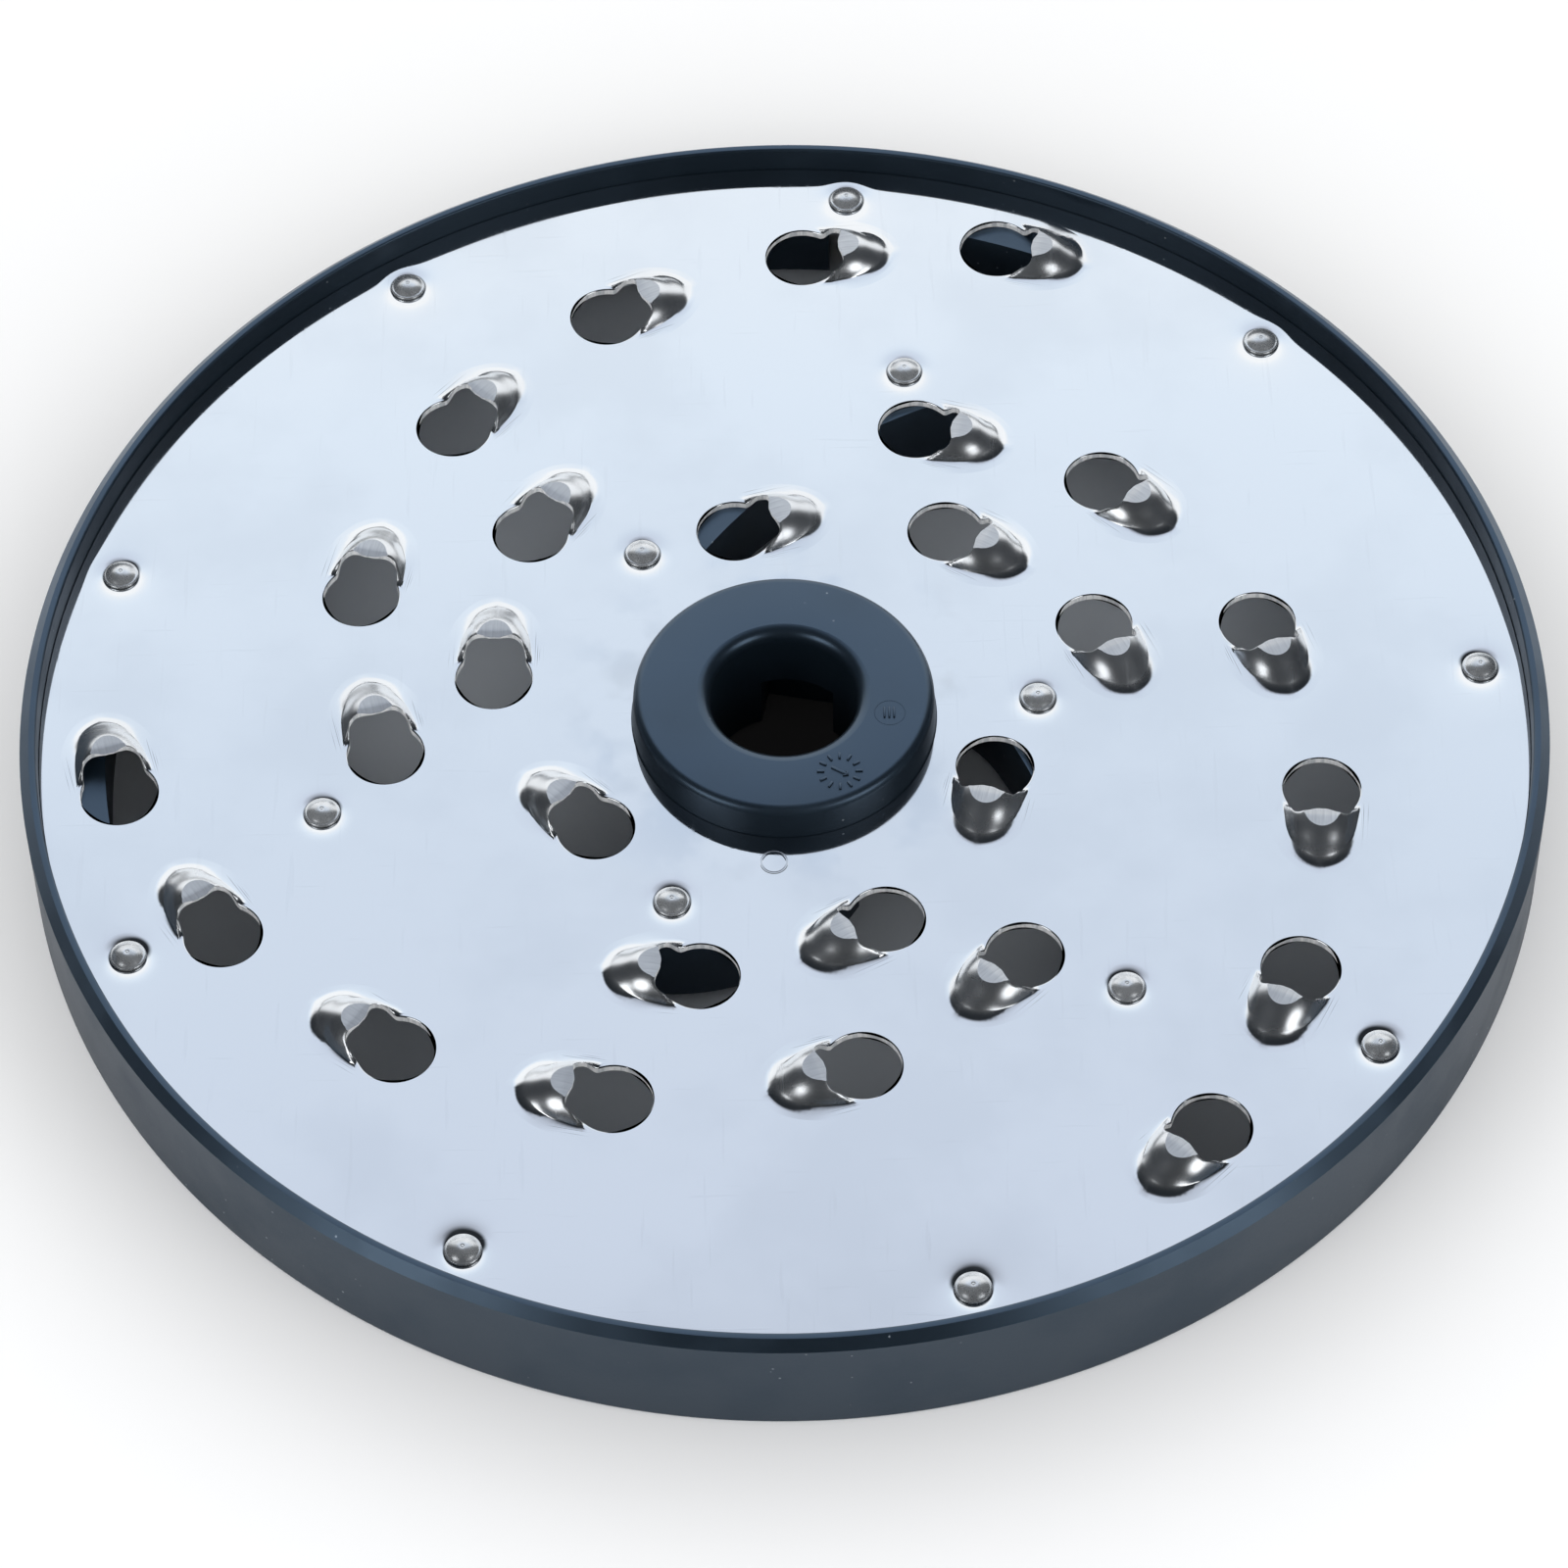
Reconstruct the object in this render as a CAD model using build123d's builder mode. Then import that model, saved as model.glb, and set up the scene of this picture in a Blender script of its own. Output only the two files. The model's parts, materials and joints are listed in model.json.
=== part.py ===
from build123d import *
from math import asin, cos, degrees, radians, sin, tan
import os

# Coarse grating disc of a vegetable cutter: a stainless sheet with drawn and ground gouge teeth,
# riveted onto a one-piece moulded carrier that has a rim, three swept arms and a hub.
# Millimetres, +Z up along the drive axis, origin on the axis in the plane of the rim's foot.
# Seen from above the disc turns anticlockwise, so each hole leads its own tooth.

# Rim of the carrier
rim_diameter = 205.0
rim_height = 17.8
rim_wall = 2.25
rim_shoulder = 1.2
rim_foot_edge = 0.5
ledge_width = 8.8
ledge_wall = 2.5

# Grating sheet
sheet_top = 13.8
sheet_thickness = 1.0
sheet_clearance = 0.1

# Hub of the carrier
hub_top = 19.0
hub_foot = 0.6
hub_diameter = 41.0
hub_draft = 4.0
hub_edge = 1.2
hub_flange_diameter = 48.0
hub_flange_thickness = 3.0
hub_boss_diameter = 42.0
bore_diameter = 20.0
bore_lip = 0.7
drive_slot_width = 10.0
drive_slot_length = 27.0
drive_slot_height = 9.0
drive_slot_angle = 78.0

# Wall under the sheet, the same in the rim's ledge and the arms, so that one rivet length fits all
web_thickness = 3.0

# Arms of the carrier, each one swept back through an inner, a middle and a rim rivet
arm_count = 3
arm_angle = 3.75
arm_width = 13.0
arm_wall = 2.5
arm_foot = 2.0
arm_root_radius = 22.0
arm_root_turn = 60.0

# Rivets
rim_rivet_count = 9
rim_rivet_inset = 5.8
middle_rivet_circle = 127.1
middle_rivet_lag = 50.0
inner_rivet_gap = 13.85
arm_end_pitches = 2
rivet_shank = 2.8
rivet_clearance = 0.05
rivet_head = 4.8
rivet_head_height = 1.15
rivet_head_edge = 0.25
rivet_tail = 4.6
rivet_tail_height = 0.8
rivet_tool_pocket = 7.5

# Teeth: nine tracks, one tooth on each track in every third of the disc
tooth_repeat = 3
first_track_gap = 10.75
last_track_inset = 11.55
tooth_angles = (99.5, 51.5, 16.9, 67.4, 40.1, 11.2, 107.9, 86.5, 68.3)
tooth_lead = 7.0
pattern_shift_x = -1.2
pattern_shift_y = 1.6
tooth_hole = 10.3

# One tooth, measured from the centre of its hole
mouth_setback = 4.0
mouth_lean = 25.0
hood_width = 9.9
hood_height = 3.35
hood_taper = 7.5
nose_setback = 8.5
nose_radius = 6.2
ground_height = 2.6
mouth_run_out = 0.5

# Levels and radii that follow from the sizes above
sheet_underside = sheet_top - sheet_thickness
rim_radius = rim_diameter / 2
rim_inner_radius = rim_radius - rim_wall
ledge_radius = rim_inner_radius - ledge_width
sheet_radius = rim_inner_radius - sheet_clearance
hub_radius = hub_diameter / 2
rivet_hole = rivet_shank + 2 * rivet_clearance
rim_rivet_circle = 2 * (rim_inner_radius - rim_rivet_inset)
inner_rivet_circle = 2 * (hub_radius + inner_rivet_gap)
first_track = hub_radius + first_track_gap
track_pitch = (rim_inner_radius - last_track_inset - first_track) / (len(tooth_angles) - 1)
web_underside = sheet_underside - web_thickness
rim_rivet_pitch = 360 / rim_rivet_count


def on_circle(diameter, angle):
    """Point in the plan at an angle on a circle about the drive axis."""
    return (diameter / 2 * cos(radians(angle)), diameter / 2 * sin(radians(angle)))


# Rivet places, with the arms' rivets repeated for each arm
arm_turns = [360 / arm_count * arm for arm in range(arm_count)]
rim_turns = [rim_rivet_pitch * rivet for rivet in range(rim_rivet_count)]
rim_rivets_at = [on_circle(rim_rivet_circle, arm_angle + turn) for turn in rim_turns]
middle_angle = arm_angle - middle_rivet_lag
middle_rivets_at = [on_circle(middle_rivet_circle, middle_angle + turn) for turn in arm_turns]
inner_rivets_at = [on_circle(inner_rivet_circle, arm_angle + turn) for turn in arm_turns]
all_rivets_at = rim_rivets_at + middle_rivets_at + inner_rivets_at

# Tooth places, with local +X pointing the way that the tooth cuts
tooth_places = []
for track, start_angle in enumerate(tooth_angles):
    for third in range(tooth_repeat):
        angle = start_angle + 360 / tooth_repeat * third
        x, y = on_circle(2 * (first_track + track_pitch * track), angle)
        place = Location((x + pattern_shift_x, y + pattern_shift_y, 0), (0, 0, angle + 90 + tooth_lead))
        tooth_places.append(place)

# The hood's surface is turned about an axis that lies below the sheet
hood_radius = ((hood_width / 2) ** 2 + hood_height**2) / (2 * hood_height)
hood_axis = sheet_top + hood_height - hood_radius
hood_plane = Plane(origin=(0, 0, hood_axis), x_dir=(1, 0, 0), z_dir=(0, -1, 0))
taper = radians(hood_taper)
inward = Vector(sin(taper), -cos(taper))
hood_front = Vector(0, hood_radius + tan(taper) * mouth_setback)
hood_shoulder = Vector(-nose_setback, hood_radius - tan(taper) * (nose_setback - mouth_setback))
nose_centre = hood_shoulder + inward * nose_radius


def drawn_form(inset):
    """Turned solid inside the hood's surface, moved inwards by a wall's thickness."""
    radius = nose_radius - inset
    sweep = 90 - hood_taper + degrees(asin(nose_centre.Y / radius))
    with BuildPart() as form:
        with BuildSketch(hood_plane):
            with BuildLine():
                nose = CenterArc(nose_centre, radius, 90 + hood_taper, sweep)
                front = hood_front - Vector(0, inset / cos(taper))
                Polyline(nose @ 1, (0, 0), front, nose @ 0)
            make_face()
        revolve(axis=Axis((0, 0, hood_axis), (1, 0, 0)))
    return form.part


mouth_plane = Plane(
    origin=(-mouth_setback, 0, sheet_top),
    x_dir=(0, 1, 0),
    z_dir=(cos(radians(mouth_lean)), 0, sin(radians(mouth_lean))),
)

# Hood that is raised from the sheet, with its crest ground flat
with BuildPart() as hood:
    add(drawn_form(0))
    split(bisect_by=Plane.XY.offset(sheet_top - sheet_thickness / 2), keep=Keep.TOP)
    split(bisect_by=Plane.XY.offset(sheet_top + ground_height), keep=Keep.BOTTOM)
    split(bisect_by=mouth_plane, keep=Keep.BOTTOM)

# Hollow under the hood
with BuildPart() as hollow:
    add(drawn_form(sheet_thickness))
    split(bisect_by=Plane.XY.offset(sheet_underside - sheet_thickness), keep=Keep.TOP)
    split(bisect_by=mouth_plane.offset(mouth_run_out), keep=Keep.BOTTOM)

# Grating plate
with BuildPart() as grating_plate:
    with BuildSketch(Plane.XY.offset(sheet_underside)):
        Circle(sheet_radius)
        Circle(hub_radius + sheet_clearance, mode=Mode.SUBTRACT)
        with Locations(*all_rivets_at):
            Circle(rivet_hole / 2, mode=Mode.SUBTRACT)
    extrude(amount=sheet_thickness)
    with Locations(*tooth_places):
        add(hood.part)
    with Locations(*tooth_places):
        add(hollow.part, mode=Mode.SUBTRACT)
    with BuildSketch(Plane.XY.offset(sheet_underside)):
        with Locations(*tooth_places):
            Circle(tooth_hole / 2)
    extrude(amount=sheet_thickness, mode=Mode.SUBTRACT)

# Centre line of one arm, from the hub out to the rim
inner_at = Vector(on_circle(inner_rivet_circle, arm_angle))
middle_at = Vector(on_circle(middle_rivet_circle, middle_angle))
end_at = Vector(on_circle(rim_rivet_circle, arm_angle - arm_end_pitches * rim_rivet_pitch))
with BuildLine() as arm_line:
    swept = ThreePointArc(inner_at, middle_at, end_at)
    JernArc(inner_at, (swept % 0) * -1, arm_root_radius, arm_root_turn)

# Carrier
with BuildPart() as carrier:
    with BuildSketch(Plane.XY.offset(arm_foot)):
        with PolarLocations(0, arm_count):
            SlotArc(arm_line.wire(), arm_width)
        Circle(rim_radius - rim_wall / 2, mode=Mode.INTERSECT)
    extrude(amount=sheet_underside - arm_foot)
    with BuildSketch(Plane.XY.offset(arm_foot)):
        with PolarLocations(0, arm_count):
            SlotArc(arm_line.wire(), arm_width - 2 * arm_wall)
    extrude(amount=web_underside - arm_foot, mode=Mode.SUBTRACT)
    with BuildSketch(Plane.XZ) as rim_section:
        with BuildLine():
            Polyline(
                (rim_radius, 0),
                (rim_radius, rim_height),
                (rim_inner_radius, rim_height),
                (rim_inner_radius, sheet_underside),
                (ledge_radius, sheet_underside),
                (ledge_radius, arm_foot),
                (ledge_radius + ledge_wall, arm_foot),
                (ledge_radius + ledge_wall, web_underside),
                (rim_inner_radius, web_underside),
                (rim_inner_radius, 0),
                close=True,
            )
        make_face()
        outer_corners = rim_section.vertices().group_by(Axis.X)[-1].sort_by(Axis.Y)
        chamfer(outer_corners[0], rim_foot_edge)
        fillet(outer_corners[-1], rim_shoulder)
    revolve(axis=Axis.Z)
    with BuildSketch(Plane.XY.offset(arm_foot)):
        with Locations(*rim_rivets_at):
            Circle(rivet_tool_pocket / 2)
    extrude(amount=web_underside - arm_foot, mode=Mode.SUBTRACT)
    with BuildSketch(Plane.XZ) as hub_section:
        hub_top_radius = hub_radius - tan(radians(hub_draft)) * (hub_top - sheet_top)
        with BuildLine():
            Polyline(
                (0, hub_foot),
                (hub_boss_diameter / 2, hub_foot),
                (hub_boss_diameter / 2, sheet_underside - hub_flange_thickness),
                (hub_flange_diameter / 2, sheet_underside - hub_flange_thickness),
                (hub_flange_diameter / 2, sheet_underside),
                (hub_radius, sheet_underside),
                (hub_radius, sheet_top),
                (hub_top_radius, hub_top),
                (0, hub_top),
                close=True,
            )
        make_face()
        fillet(hub_section.vertices().group_by(Axis.Y)[-1].sort_by(Axis.X)[-1], hub_edge)
    revolve(axis=Axis.Z)
    with BuildSketch(Plane.XY.offset(hub_foot)):
        Rectangle(drive_slot_length, drive_slot_width, rotation=drive_slot_angle)
    extrude(amount=drive_slot_height - hub_foot, mode=Mode.SUBTRACT)
    with BuildSketch(Plane.XY.offset(hub_foot)):
        Circle(bore_diameter / 2)
    extrude(amount=hub_top - hub_foot, mode=Mode.SUBTRACT)
    fillet(carrier.edges().group_by(Axis.Z)[-1].sort_by(SortBy.LENGTH)[0], bore_lip)
    with BuildSketch(Plane.XY.offset(sheet_underside)):
        with Locations(*all_rivets_at):
            Circle(rivet_hole / 2)
    extrude(amount=-web_thickness, mode=Mode.SUBTRACT)

# One rivet at the origin of the plan: domed head, shank and clinched tail
head_radius = rivet_head / 2
with BuildPart() as rivet:
    with BuildSketch(Plane.XZ):
        with BuildLine():
            rim_of_head = (head_radius, sheet_top + rivet_head_edge)
            crown = (0, sheet_top + rivet_head_height)
            crown_rise = rivet_head_height - rivet_head_edge
            crown_radius = (head_radius**2 + crown_rise**2) / (2 * crown_rise)
            RadiusArc(rim_of_head, crown, -crown_radius)
            Polyline(
                crown,
                (0, web_underside - rivet_tail_height),
                (rivet_tail / 2, web_underside - rivet_tail_height),
                (rivet_tail / 2, web_underside),
                (rivet_shank / 2, web_underside),
                (rivet_shank / 2, sheet_top),
                (head_radius, sheet_top),
                rim_of_head,
            )
        make_face()
    revolve(axis=Axis.Z)


def rivet_group(points):
    """Separate rivets at the given points of the plan."""
    with BuildPart() as group:
        with Locations(*points):
            add(rivet.part)
    return group.part


rim_rivets = rivet_group(rim_rivets_at)
middle_rivets = rivet_group(middle_rivets_at)
inner_rivets = rivet_group(inner_rivets_at)

grating_plate.part.label = "grating_plate"
carrier.part.label = "carrier"
rim_rivets.label = "rim_rivets"
middle_rivets.label = "middle_rivets"
inner_rivets.label = "inner_rivets"

os.makedirs("parts", exist_ok=True)
export_step(grating_plate.part, "parts/grating_plate.step")
export_step(carrier.part, "parts/carrier.step")
export_step(rim_rivets, "parts/rim_rivets.step")
export_step(middle_rivets, "parts/middle_rivets.step")
export_step(inner_rivets, "parts/inner_rivets.step")
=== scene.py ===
"""Studio scene of a coarse grating disc for a vegetable cutter.

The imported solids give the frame, and the pieces made here carry the looks: a polished sheet with drawn
and ground teeth, a satin black carrier, and bright domed rivets. Sizes are in millimetres until a mesh is
handed over, when it is scaled to metres.
"""

from __future__ import annotations

import json
import logging
import math
from collections.abc import Iterable
from dataclasses import dataclass, field
from enum import Enum

import bmesh
import bpy
from bmesh.types import BMEdge, BMesh, BMFace, BMVert
from bpy.types import Material, Mesh, Node, NodeSocket, Object
from mathutils import Matrix, Vector

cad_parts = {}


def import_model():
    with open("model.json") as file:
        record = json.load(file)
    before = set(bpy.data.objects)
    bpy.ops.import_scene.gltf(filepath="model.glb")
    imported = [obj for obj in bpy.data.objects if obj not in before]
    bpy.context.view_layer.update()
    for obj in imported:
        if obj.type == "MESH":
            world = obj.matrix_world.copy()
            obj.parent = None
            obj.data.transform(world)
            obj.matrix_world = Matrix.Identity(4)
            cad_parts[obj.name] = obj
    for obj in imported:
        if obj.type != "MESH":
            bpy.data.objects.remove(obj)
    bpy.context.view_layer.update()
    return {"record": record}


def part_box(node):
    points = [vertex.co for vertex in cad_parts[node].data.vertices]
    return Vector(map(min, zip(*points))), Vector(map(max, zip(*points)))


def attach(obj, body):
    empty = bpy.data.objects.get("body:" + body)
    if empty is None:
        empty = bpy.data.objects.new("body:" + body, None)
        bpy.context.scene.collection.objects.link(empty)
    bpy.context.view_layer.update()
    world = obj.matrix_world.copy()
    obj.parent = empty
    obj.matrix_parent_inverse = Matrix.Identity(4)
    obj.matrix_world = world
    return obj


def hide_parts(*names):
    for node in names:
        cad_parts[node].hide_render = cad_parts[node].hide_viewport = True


LOG = logging.getLogger("grating_disc")
MM = 0.001
WELD_GAP = 1e-4
ON_EDGE = 1e-3
BROAD_AREA = 2.0
SLIGHT_BEND = 8.0
Colour = tuple[float, float, float]
Triple = tuple[float, float, float]
Point = tuple[float, float]


class SheetZone(Enum):
    """Material slot of each zone of the sheet."""

    POLISHED = 0
    GROUND = 1
    CUT = 2


class RivetRow(Enum):
    """Rows of rivets, each with its piece's name and the solid that it stands for."""

    RIM = ("rim_rivet_row", "rim_rivets")
    MIDDLE = ("middle_rivet_row", "middle_rivets")
    INNER = ("inner_rivet_row", "inner_rivets")


def smooth_max(first: float, second: float, width: float) -> float:
    """Larger of two values, with a rounded change from one to the other.

    Args:
        first: First value.
        second: Second value.
        width: Difference below which the two are blended.

    Returns:
        The blended value.
    """
    share = max(width - abs(first - second), 0.0) / width
    return max(first, second) + share * share * width / 4


def on_circle(radius: float, angle: float) -> Point:
    """Point of the plan at an angle, in degrees, on a circle about the drive axis.

    Args:
        radius: Radius of the circle.
        angle: Angle from +X.

    Returns:
        The point's x and y.
    """
    return (radius * math.cos(math.radians(angle)), radius * math.sin(math.radians(angle)))


def verts_in(geometry: Iterable[object]) -> list[BMVert]:
    """Vertices among the elements that an operator gave back."""
    return [item for item in geometry if isinstance(item, BMVert)]


def faces_in(geometry: Iterable[object]) -> list[BMFace]:
    """Faces among the elements that an operator gave back."""
    return [item for item in geometry if isinstance(item, BMFace)]


def sweep_round(
    bm: BMesh, geometry: list[object], centre: Iterable[float], angle: float, steps: int, merge: bool = False
) -> None:
    """Sweep vertices and edges round an upright axis.

    Args:
        bm: Mesh that they belong to.
        geometry: The vertices and edges.
        centre: Place of the axis in the plan.
        angle: Angle of the sweep, in radians.
        steps: Facets along it.
        merge: Whether a full turn is closed.
    """
    bmesh.ops.spin(
        bm, geom=geometry, cent=(*centre, 0.0), axis=(0, 0, 1), angle=angle, steps=steps, use_merge=merge
    )


def round_edges(bm: BMesh, edges: Iterable[BMEdge], size: float, segments: int) -> None:
    """Round some edges of a mesh.

    Args:
        bm: Mesh that they belong to.
        edges: The edges.
        size: Radius of the rounding.
        segments: Facets across it.
    """
    bmesh.ops.bevel(
        bm, geom=list(edges), offset=size, offset_type="OFFSET", segments=segments, profile=0.5,
        affect="EDGES", material=-1, clamp_overlap=True,
    )


def turned(profile: list[Point], steps: int, closed: bool = True) -> BMesh:
    """Solid of revolution about the drive axis.

    Args:
        profile: Corners of the section as radius and height.
        steps: Facets in a full turn.
        closed: Whether the last corner joins the first.

    Returns:
        The turned mesh, in millimetres.
    """
    bm = bmesh.new()
    corners = [bm.verts.new((radius, 0.0, height)) for radius, height in profile]
    ends = corners[1:] + corners[:1] if closed else corners[1:]
    edges = [bm.edges.new(pair) for pair in zip(corners, ends)]
    sweep_round(bm, corners + edges, (0.0, 0.0), math.tau, steps, merge=True)
    bmesh.ops.remove_doubles(bm, verts=bm.verts[:], dist=WELD_GAP)
    bmesh.ops.recalc_face_normals(bm, faces=bm.faces[:])
    return bm


def round_turned_edge(bm: BMesh, corner: Point, size: float, segments: int) -> None:
    """Round one circular edge of a turned mesh.

    Args:
        bm: Mesh turned about the drive axis.
        corner: Radius and height of the edge.
        size: Radius of the rounding.
        segments: Facets across the rounding.
    """
    def at_corner(vert: BMVert) -> bool:
        """Whether a vertex lies on the edge."""
        off_radius = abs(math.hypot(vert.co.x, vert.co.y) - corner[0])
        return off_radius < ON_EDGE and abs(vert.co.z - corner[1]) < ON_EDGE

    edges = [edge for edge in bm.edges if all(at_corner(vert) for vert in edge.verts)]
    round_edges(bm, edges, size, segments)


def mark_sharp(bm: BMesh, angle: float) -> None:
    """Shade a mesh smooth, with creases where its faces meet at more than an angle or a broad flat ends.

    Args:
        bm: Mesh to shade.
        angle: Least angle of a crease, in degrees.
    """
    limit, slight = math.radians(angle), math.radians(SLIGHT_BEND)
    broad = set()
    for face in bm.faces:
        face.smooth = True
        if face.calc_area() > BROAD_AREA:
            broad.add(face)
    for edge in bm.edges:
        bend = edge.calc_face_angle(0.0)
        zones = {face.material_index for face in edge.link_faces}
        beside_flat = bend > slight and not broad.isdisjoint(edge.link_faces)
        edge.smooth = len(zones) == 1 and bend < limit and not beside_flat


def as_mesh(bm: BMesh, name: str) -> Mesh:
    """Store an edited mesh as mesh data.

    Args:
        bm: Edited mesh, which is freed.
        name: Name of the data.

    Returns:
        The mesh data.
    """
    mesh = bpy.data.meshes.new(name)
    bm.to_mesh(mesh)
    bm.free()
    return mesh


def hand_over(bm: BMesh, name: str, materials: list[Material]) -> Object:
    """Scale a finished mesh to metres and give it to a new object that rides on the part.

    Args:
        bm: Mesh in millimetres, which is freed.
        name: Name of the piece.
        materials: Its material slots, in order.

    Returns:
        The new object.
    """
    bmesh.ops.scale(bm, vec=(MM, MM, MM), verts=bm.verts[:])
    mesh = as_mesh(bm, name)
    piece = bpy.data.objects.new(name, mesh)
    for material in materials:
        mesh.materials.append(material)
    bpy.context.scene.collection.objects.link(piece)
    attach(piece, "root")
    LOG.info("%s: %d faces", name, len(mesh.polygons))
    return piece


def applied(piece: Object) -> Mesh:
    """Mesh of an object with its modifiers applied.

    Args:
        piece: Object with live modifiers.

    Returns:
        A new mesh.
    """
    bpy.context.view_layer.update()
    graph = bpy.context.evaluated_depsgraph_get()
    return bpy.data.meshes.new_from_object(piece.evaluated_get(graph))


def cut_away(bm: BMesh, cutter: BMesh) -> BMesh:
    """Subtract one closed mesh from another.

    Args:
        bm: Mesh to cut, which is freed.
        cutter: Mesh to take away, which is freed.

    Returns:
        What is left.
    """
    blank = bpy.data.objects.new("blank", as_mesh(bm, "blank"))
    tool = bpy.data.objects.new("tool", as_mesh(cutter, "tool"))
    for item in (blank, tool):
        bpy.context.scene.collection.objects.link(item)
    cut = blank.modifiers.new("cut", "BOOLEAN")
    cut.operation = "DIFFERENCE"
    cut.solver = "EXACT"
    cut.object = tool
    left = bmesh.new()
    left.from_mesh(applied(blank))
    for item in (blank, tool):
        bpy.data.objects.remove(item)
    return left


class NodeBench:
    """Lays out the shader nodes of one material."""

    def __init__(self, name: str) -> None:
        """Start a material with a plain surface shader.

        Args:
            name: Name of the material.
        """
        self.material = bpy.data.materials.new(name)
        self.material.use_nodes = True
        self.tree = self.material.node_tree
        self.surface = self.tree.nodes["Principled BSDF"]
        self.place = self.tree.nodes.new("ShaderNodeTexCoord").outputs["Object"]

    def put(self, socket: NodeSocket, value: object) -> None:
        """Link a socket to another one, or set its value.

        Args:
            socket: Input socket.
            value: Output socket, number or tuple.
        """
        if isinstance(value, NodeSocket):
            self.tree.links.new(value, socket)
        else:
            socket.default_value = value

    def add(self, kind: str, inputs: dict[str, object], **settings: object) -> Node:
        """Add a node.

        Args:
            kind: Type of the node.
            inputs: Values or sockets for its inputs, by name.
            settings: Its own settings.

        Returns:
            The node.
        """
        node = self.tree.nodes.new(kind)
        for key, value in settings.items():
            setattr(node, key, value)
        for key, value in inputs.items():
            self.put(node.inputs[key], value)
        return node

    def math(self, operation: str, *values: object) -> NodeSocket:
        """Result of a math node.

        Args:
            operation: Name of the operation.
            values: Its numbers or sockets, in order.

        Returns:
            The output socket.
        """
        node = self.tree.nodes.new("ShaderNodeMath")
        node.operation = operation
        for socket, value in zip(node.inputs, values):
            self.put(socket, value)
        return node.outputs[0]

    def fit(self, value: object, low: float, high: float, to_low: float, to_high: float) -> NodeSocket:
        """Value mapped smoothly from one range onto another.

        Args:
            value: Socket to map.
            low: Start of the first range.
            high: End of the first range.
            to_low: Start of the second range.
            to_high: End of the second range.

        Returns:
            The output socket.
        """
        names = ("From Min", "From Max", "To Min", "To Max")
        inputs = dict(zip(names, (low, high, to_low, to_high)))
        node = self.add("ShaderNodeMapRange", {"Value": value, **inputs}, interpolation_type="SMOOTHSTEP")
        return node.outputs["Result"]

    def square_sum(self, first: object, second: object) -> NodeSocket:
        """Sum of the squares of two values."""
        return self.math("ADD", self.math("MULTIPLY", first, first), self.math("MULTIPLY", second, second))

    def stretched(self, scale: Triple, turn: float = 0.0, vector: object = None) -> NodeSocket:
        """Object coordinates stretched and turned about Z.

        Args:
            scale: Factor on each axis.
            turn: Turn in degrees.
            vector: Other coordinates to start from.

        Returns:
            The output socket.
        """
        start = self.place if vector is None else vector
        inputs = {"Vector": start, "Scale": scale, "Rotation": (0.0, 0.0, math.radians(turn))}
        return self.add("ShaderNodeMapping", inputs).outputs["Vector"]

    def noise(self, scale: float, detail: float = 2.0, vector: object = None) -> NodeSocket:
        """Soft noise between 0 and 1.

        Args:
            scale: Features in a metre of the coordinates.
            detail: Octaves of finer noise.
            vector: Coordinates, or None for the object's own.

        Returns:
            The output socket.
        """
        start = self.place if vector is None else vector
        node = self.add("ShaderNodeTexNoise", {"Vector": start, "Scale": scale, "Detail": detail})
        return node.outputs[0]

    def grain(self, pattern: Mottle, vector: object = None) -> NodeSocket:
        """Raw noise of a mottled finish.

        Args:
            pattern: The noise's grain.
            vector: Coordinates, or None for the object's own.

        Returns:
            The output socket, between 0 and 1.
        """
        if isinstance(pattern.scale, tuple):
            return self.noise(1.0, pattern.detail, self.stretched(pattern.scale, pattern.turn, vector))
        return self.noise(pattern.scale, pattern.detail, vector)

    def shown(self, pattern: Mottle, grain: NodeSocket) -> NodeSocket:
        """Mask of the band of a noise that shows."""
        return self.fit(grain, pattern.low, pattern.high, 0.0, pattern.top)

    def mottle(self, pattern: Mottle, vector: object = None) -> NodeSocket:
        """Mask of a mottled finish, on the object's coordinates or on others."""
        return self.shown(pattern, self.grain(pattern, vector))

    def specks(self, scale: float, size: float) -> NodeSocket:
        """Mask of small scattered specks.

        Args:
            scale: Specks in a metre.
            size: Radius of a speck as a share of their spacing.

        Returns:
            The output socket, 1 inside a speck.
        """
        cells = self.add("ShaderNodeTexVoronoi", {"Vector": self.place, "Scale": scale})
        return self.fit(cells.outputs["Distance"], size * 0.5, size, 1.0, 0.0)

    def ramp(self, value: object, stops: tuple[tuple[float, Colour], ...]) -> NodeSocket:
        """Colour that runs through a row of stops.

        Args:
            value: Place along the row, from 0 to 1.
            stops: Places and colours, in rising order.

        Returns:
            The output socket.
        """
        node = self.add("ShaderNodeValToRGB", {"Fac": value})
        elements = node.color_ramp.elements
        for index, (place, colour) in enumerate(stops):
            stop = elements[index] if index < 2 else elements.new(place)
            stop.position = place
            stop.color = (*colour, 1.0)
        return node.outputs["Color"]

    def blend(self, share: object, first: object, second: object) -> NodeSocket:
        """Mix of two colours.

        Args:
            share: Share of the second colour.
            first: First colour or socket.
            second: Second colour or socket.

        Returns:
            The output socket.
        """
        node = self.tree.nodes.new("ShaderNodeMix")
        node.data_type = "RGBA"
        for index, value in ((0, share), (6, first), (7, second)):
            solid = isinstance(value, tuple)
            self.put(node.inputs[index], (*value, 1.0) if solid else value)
        return node.outputs[2]

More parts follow.
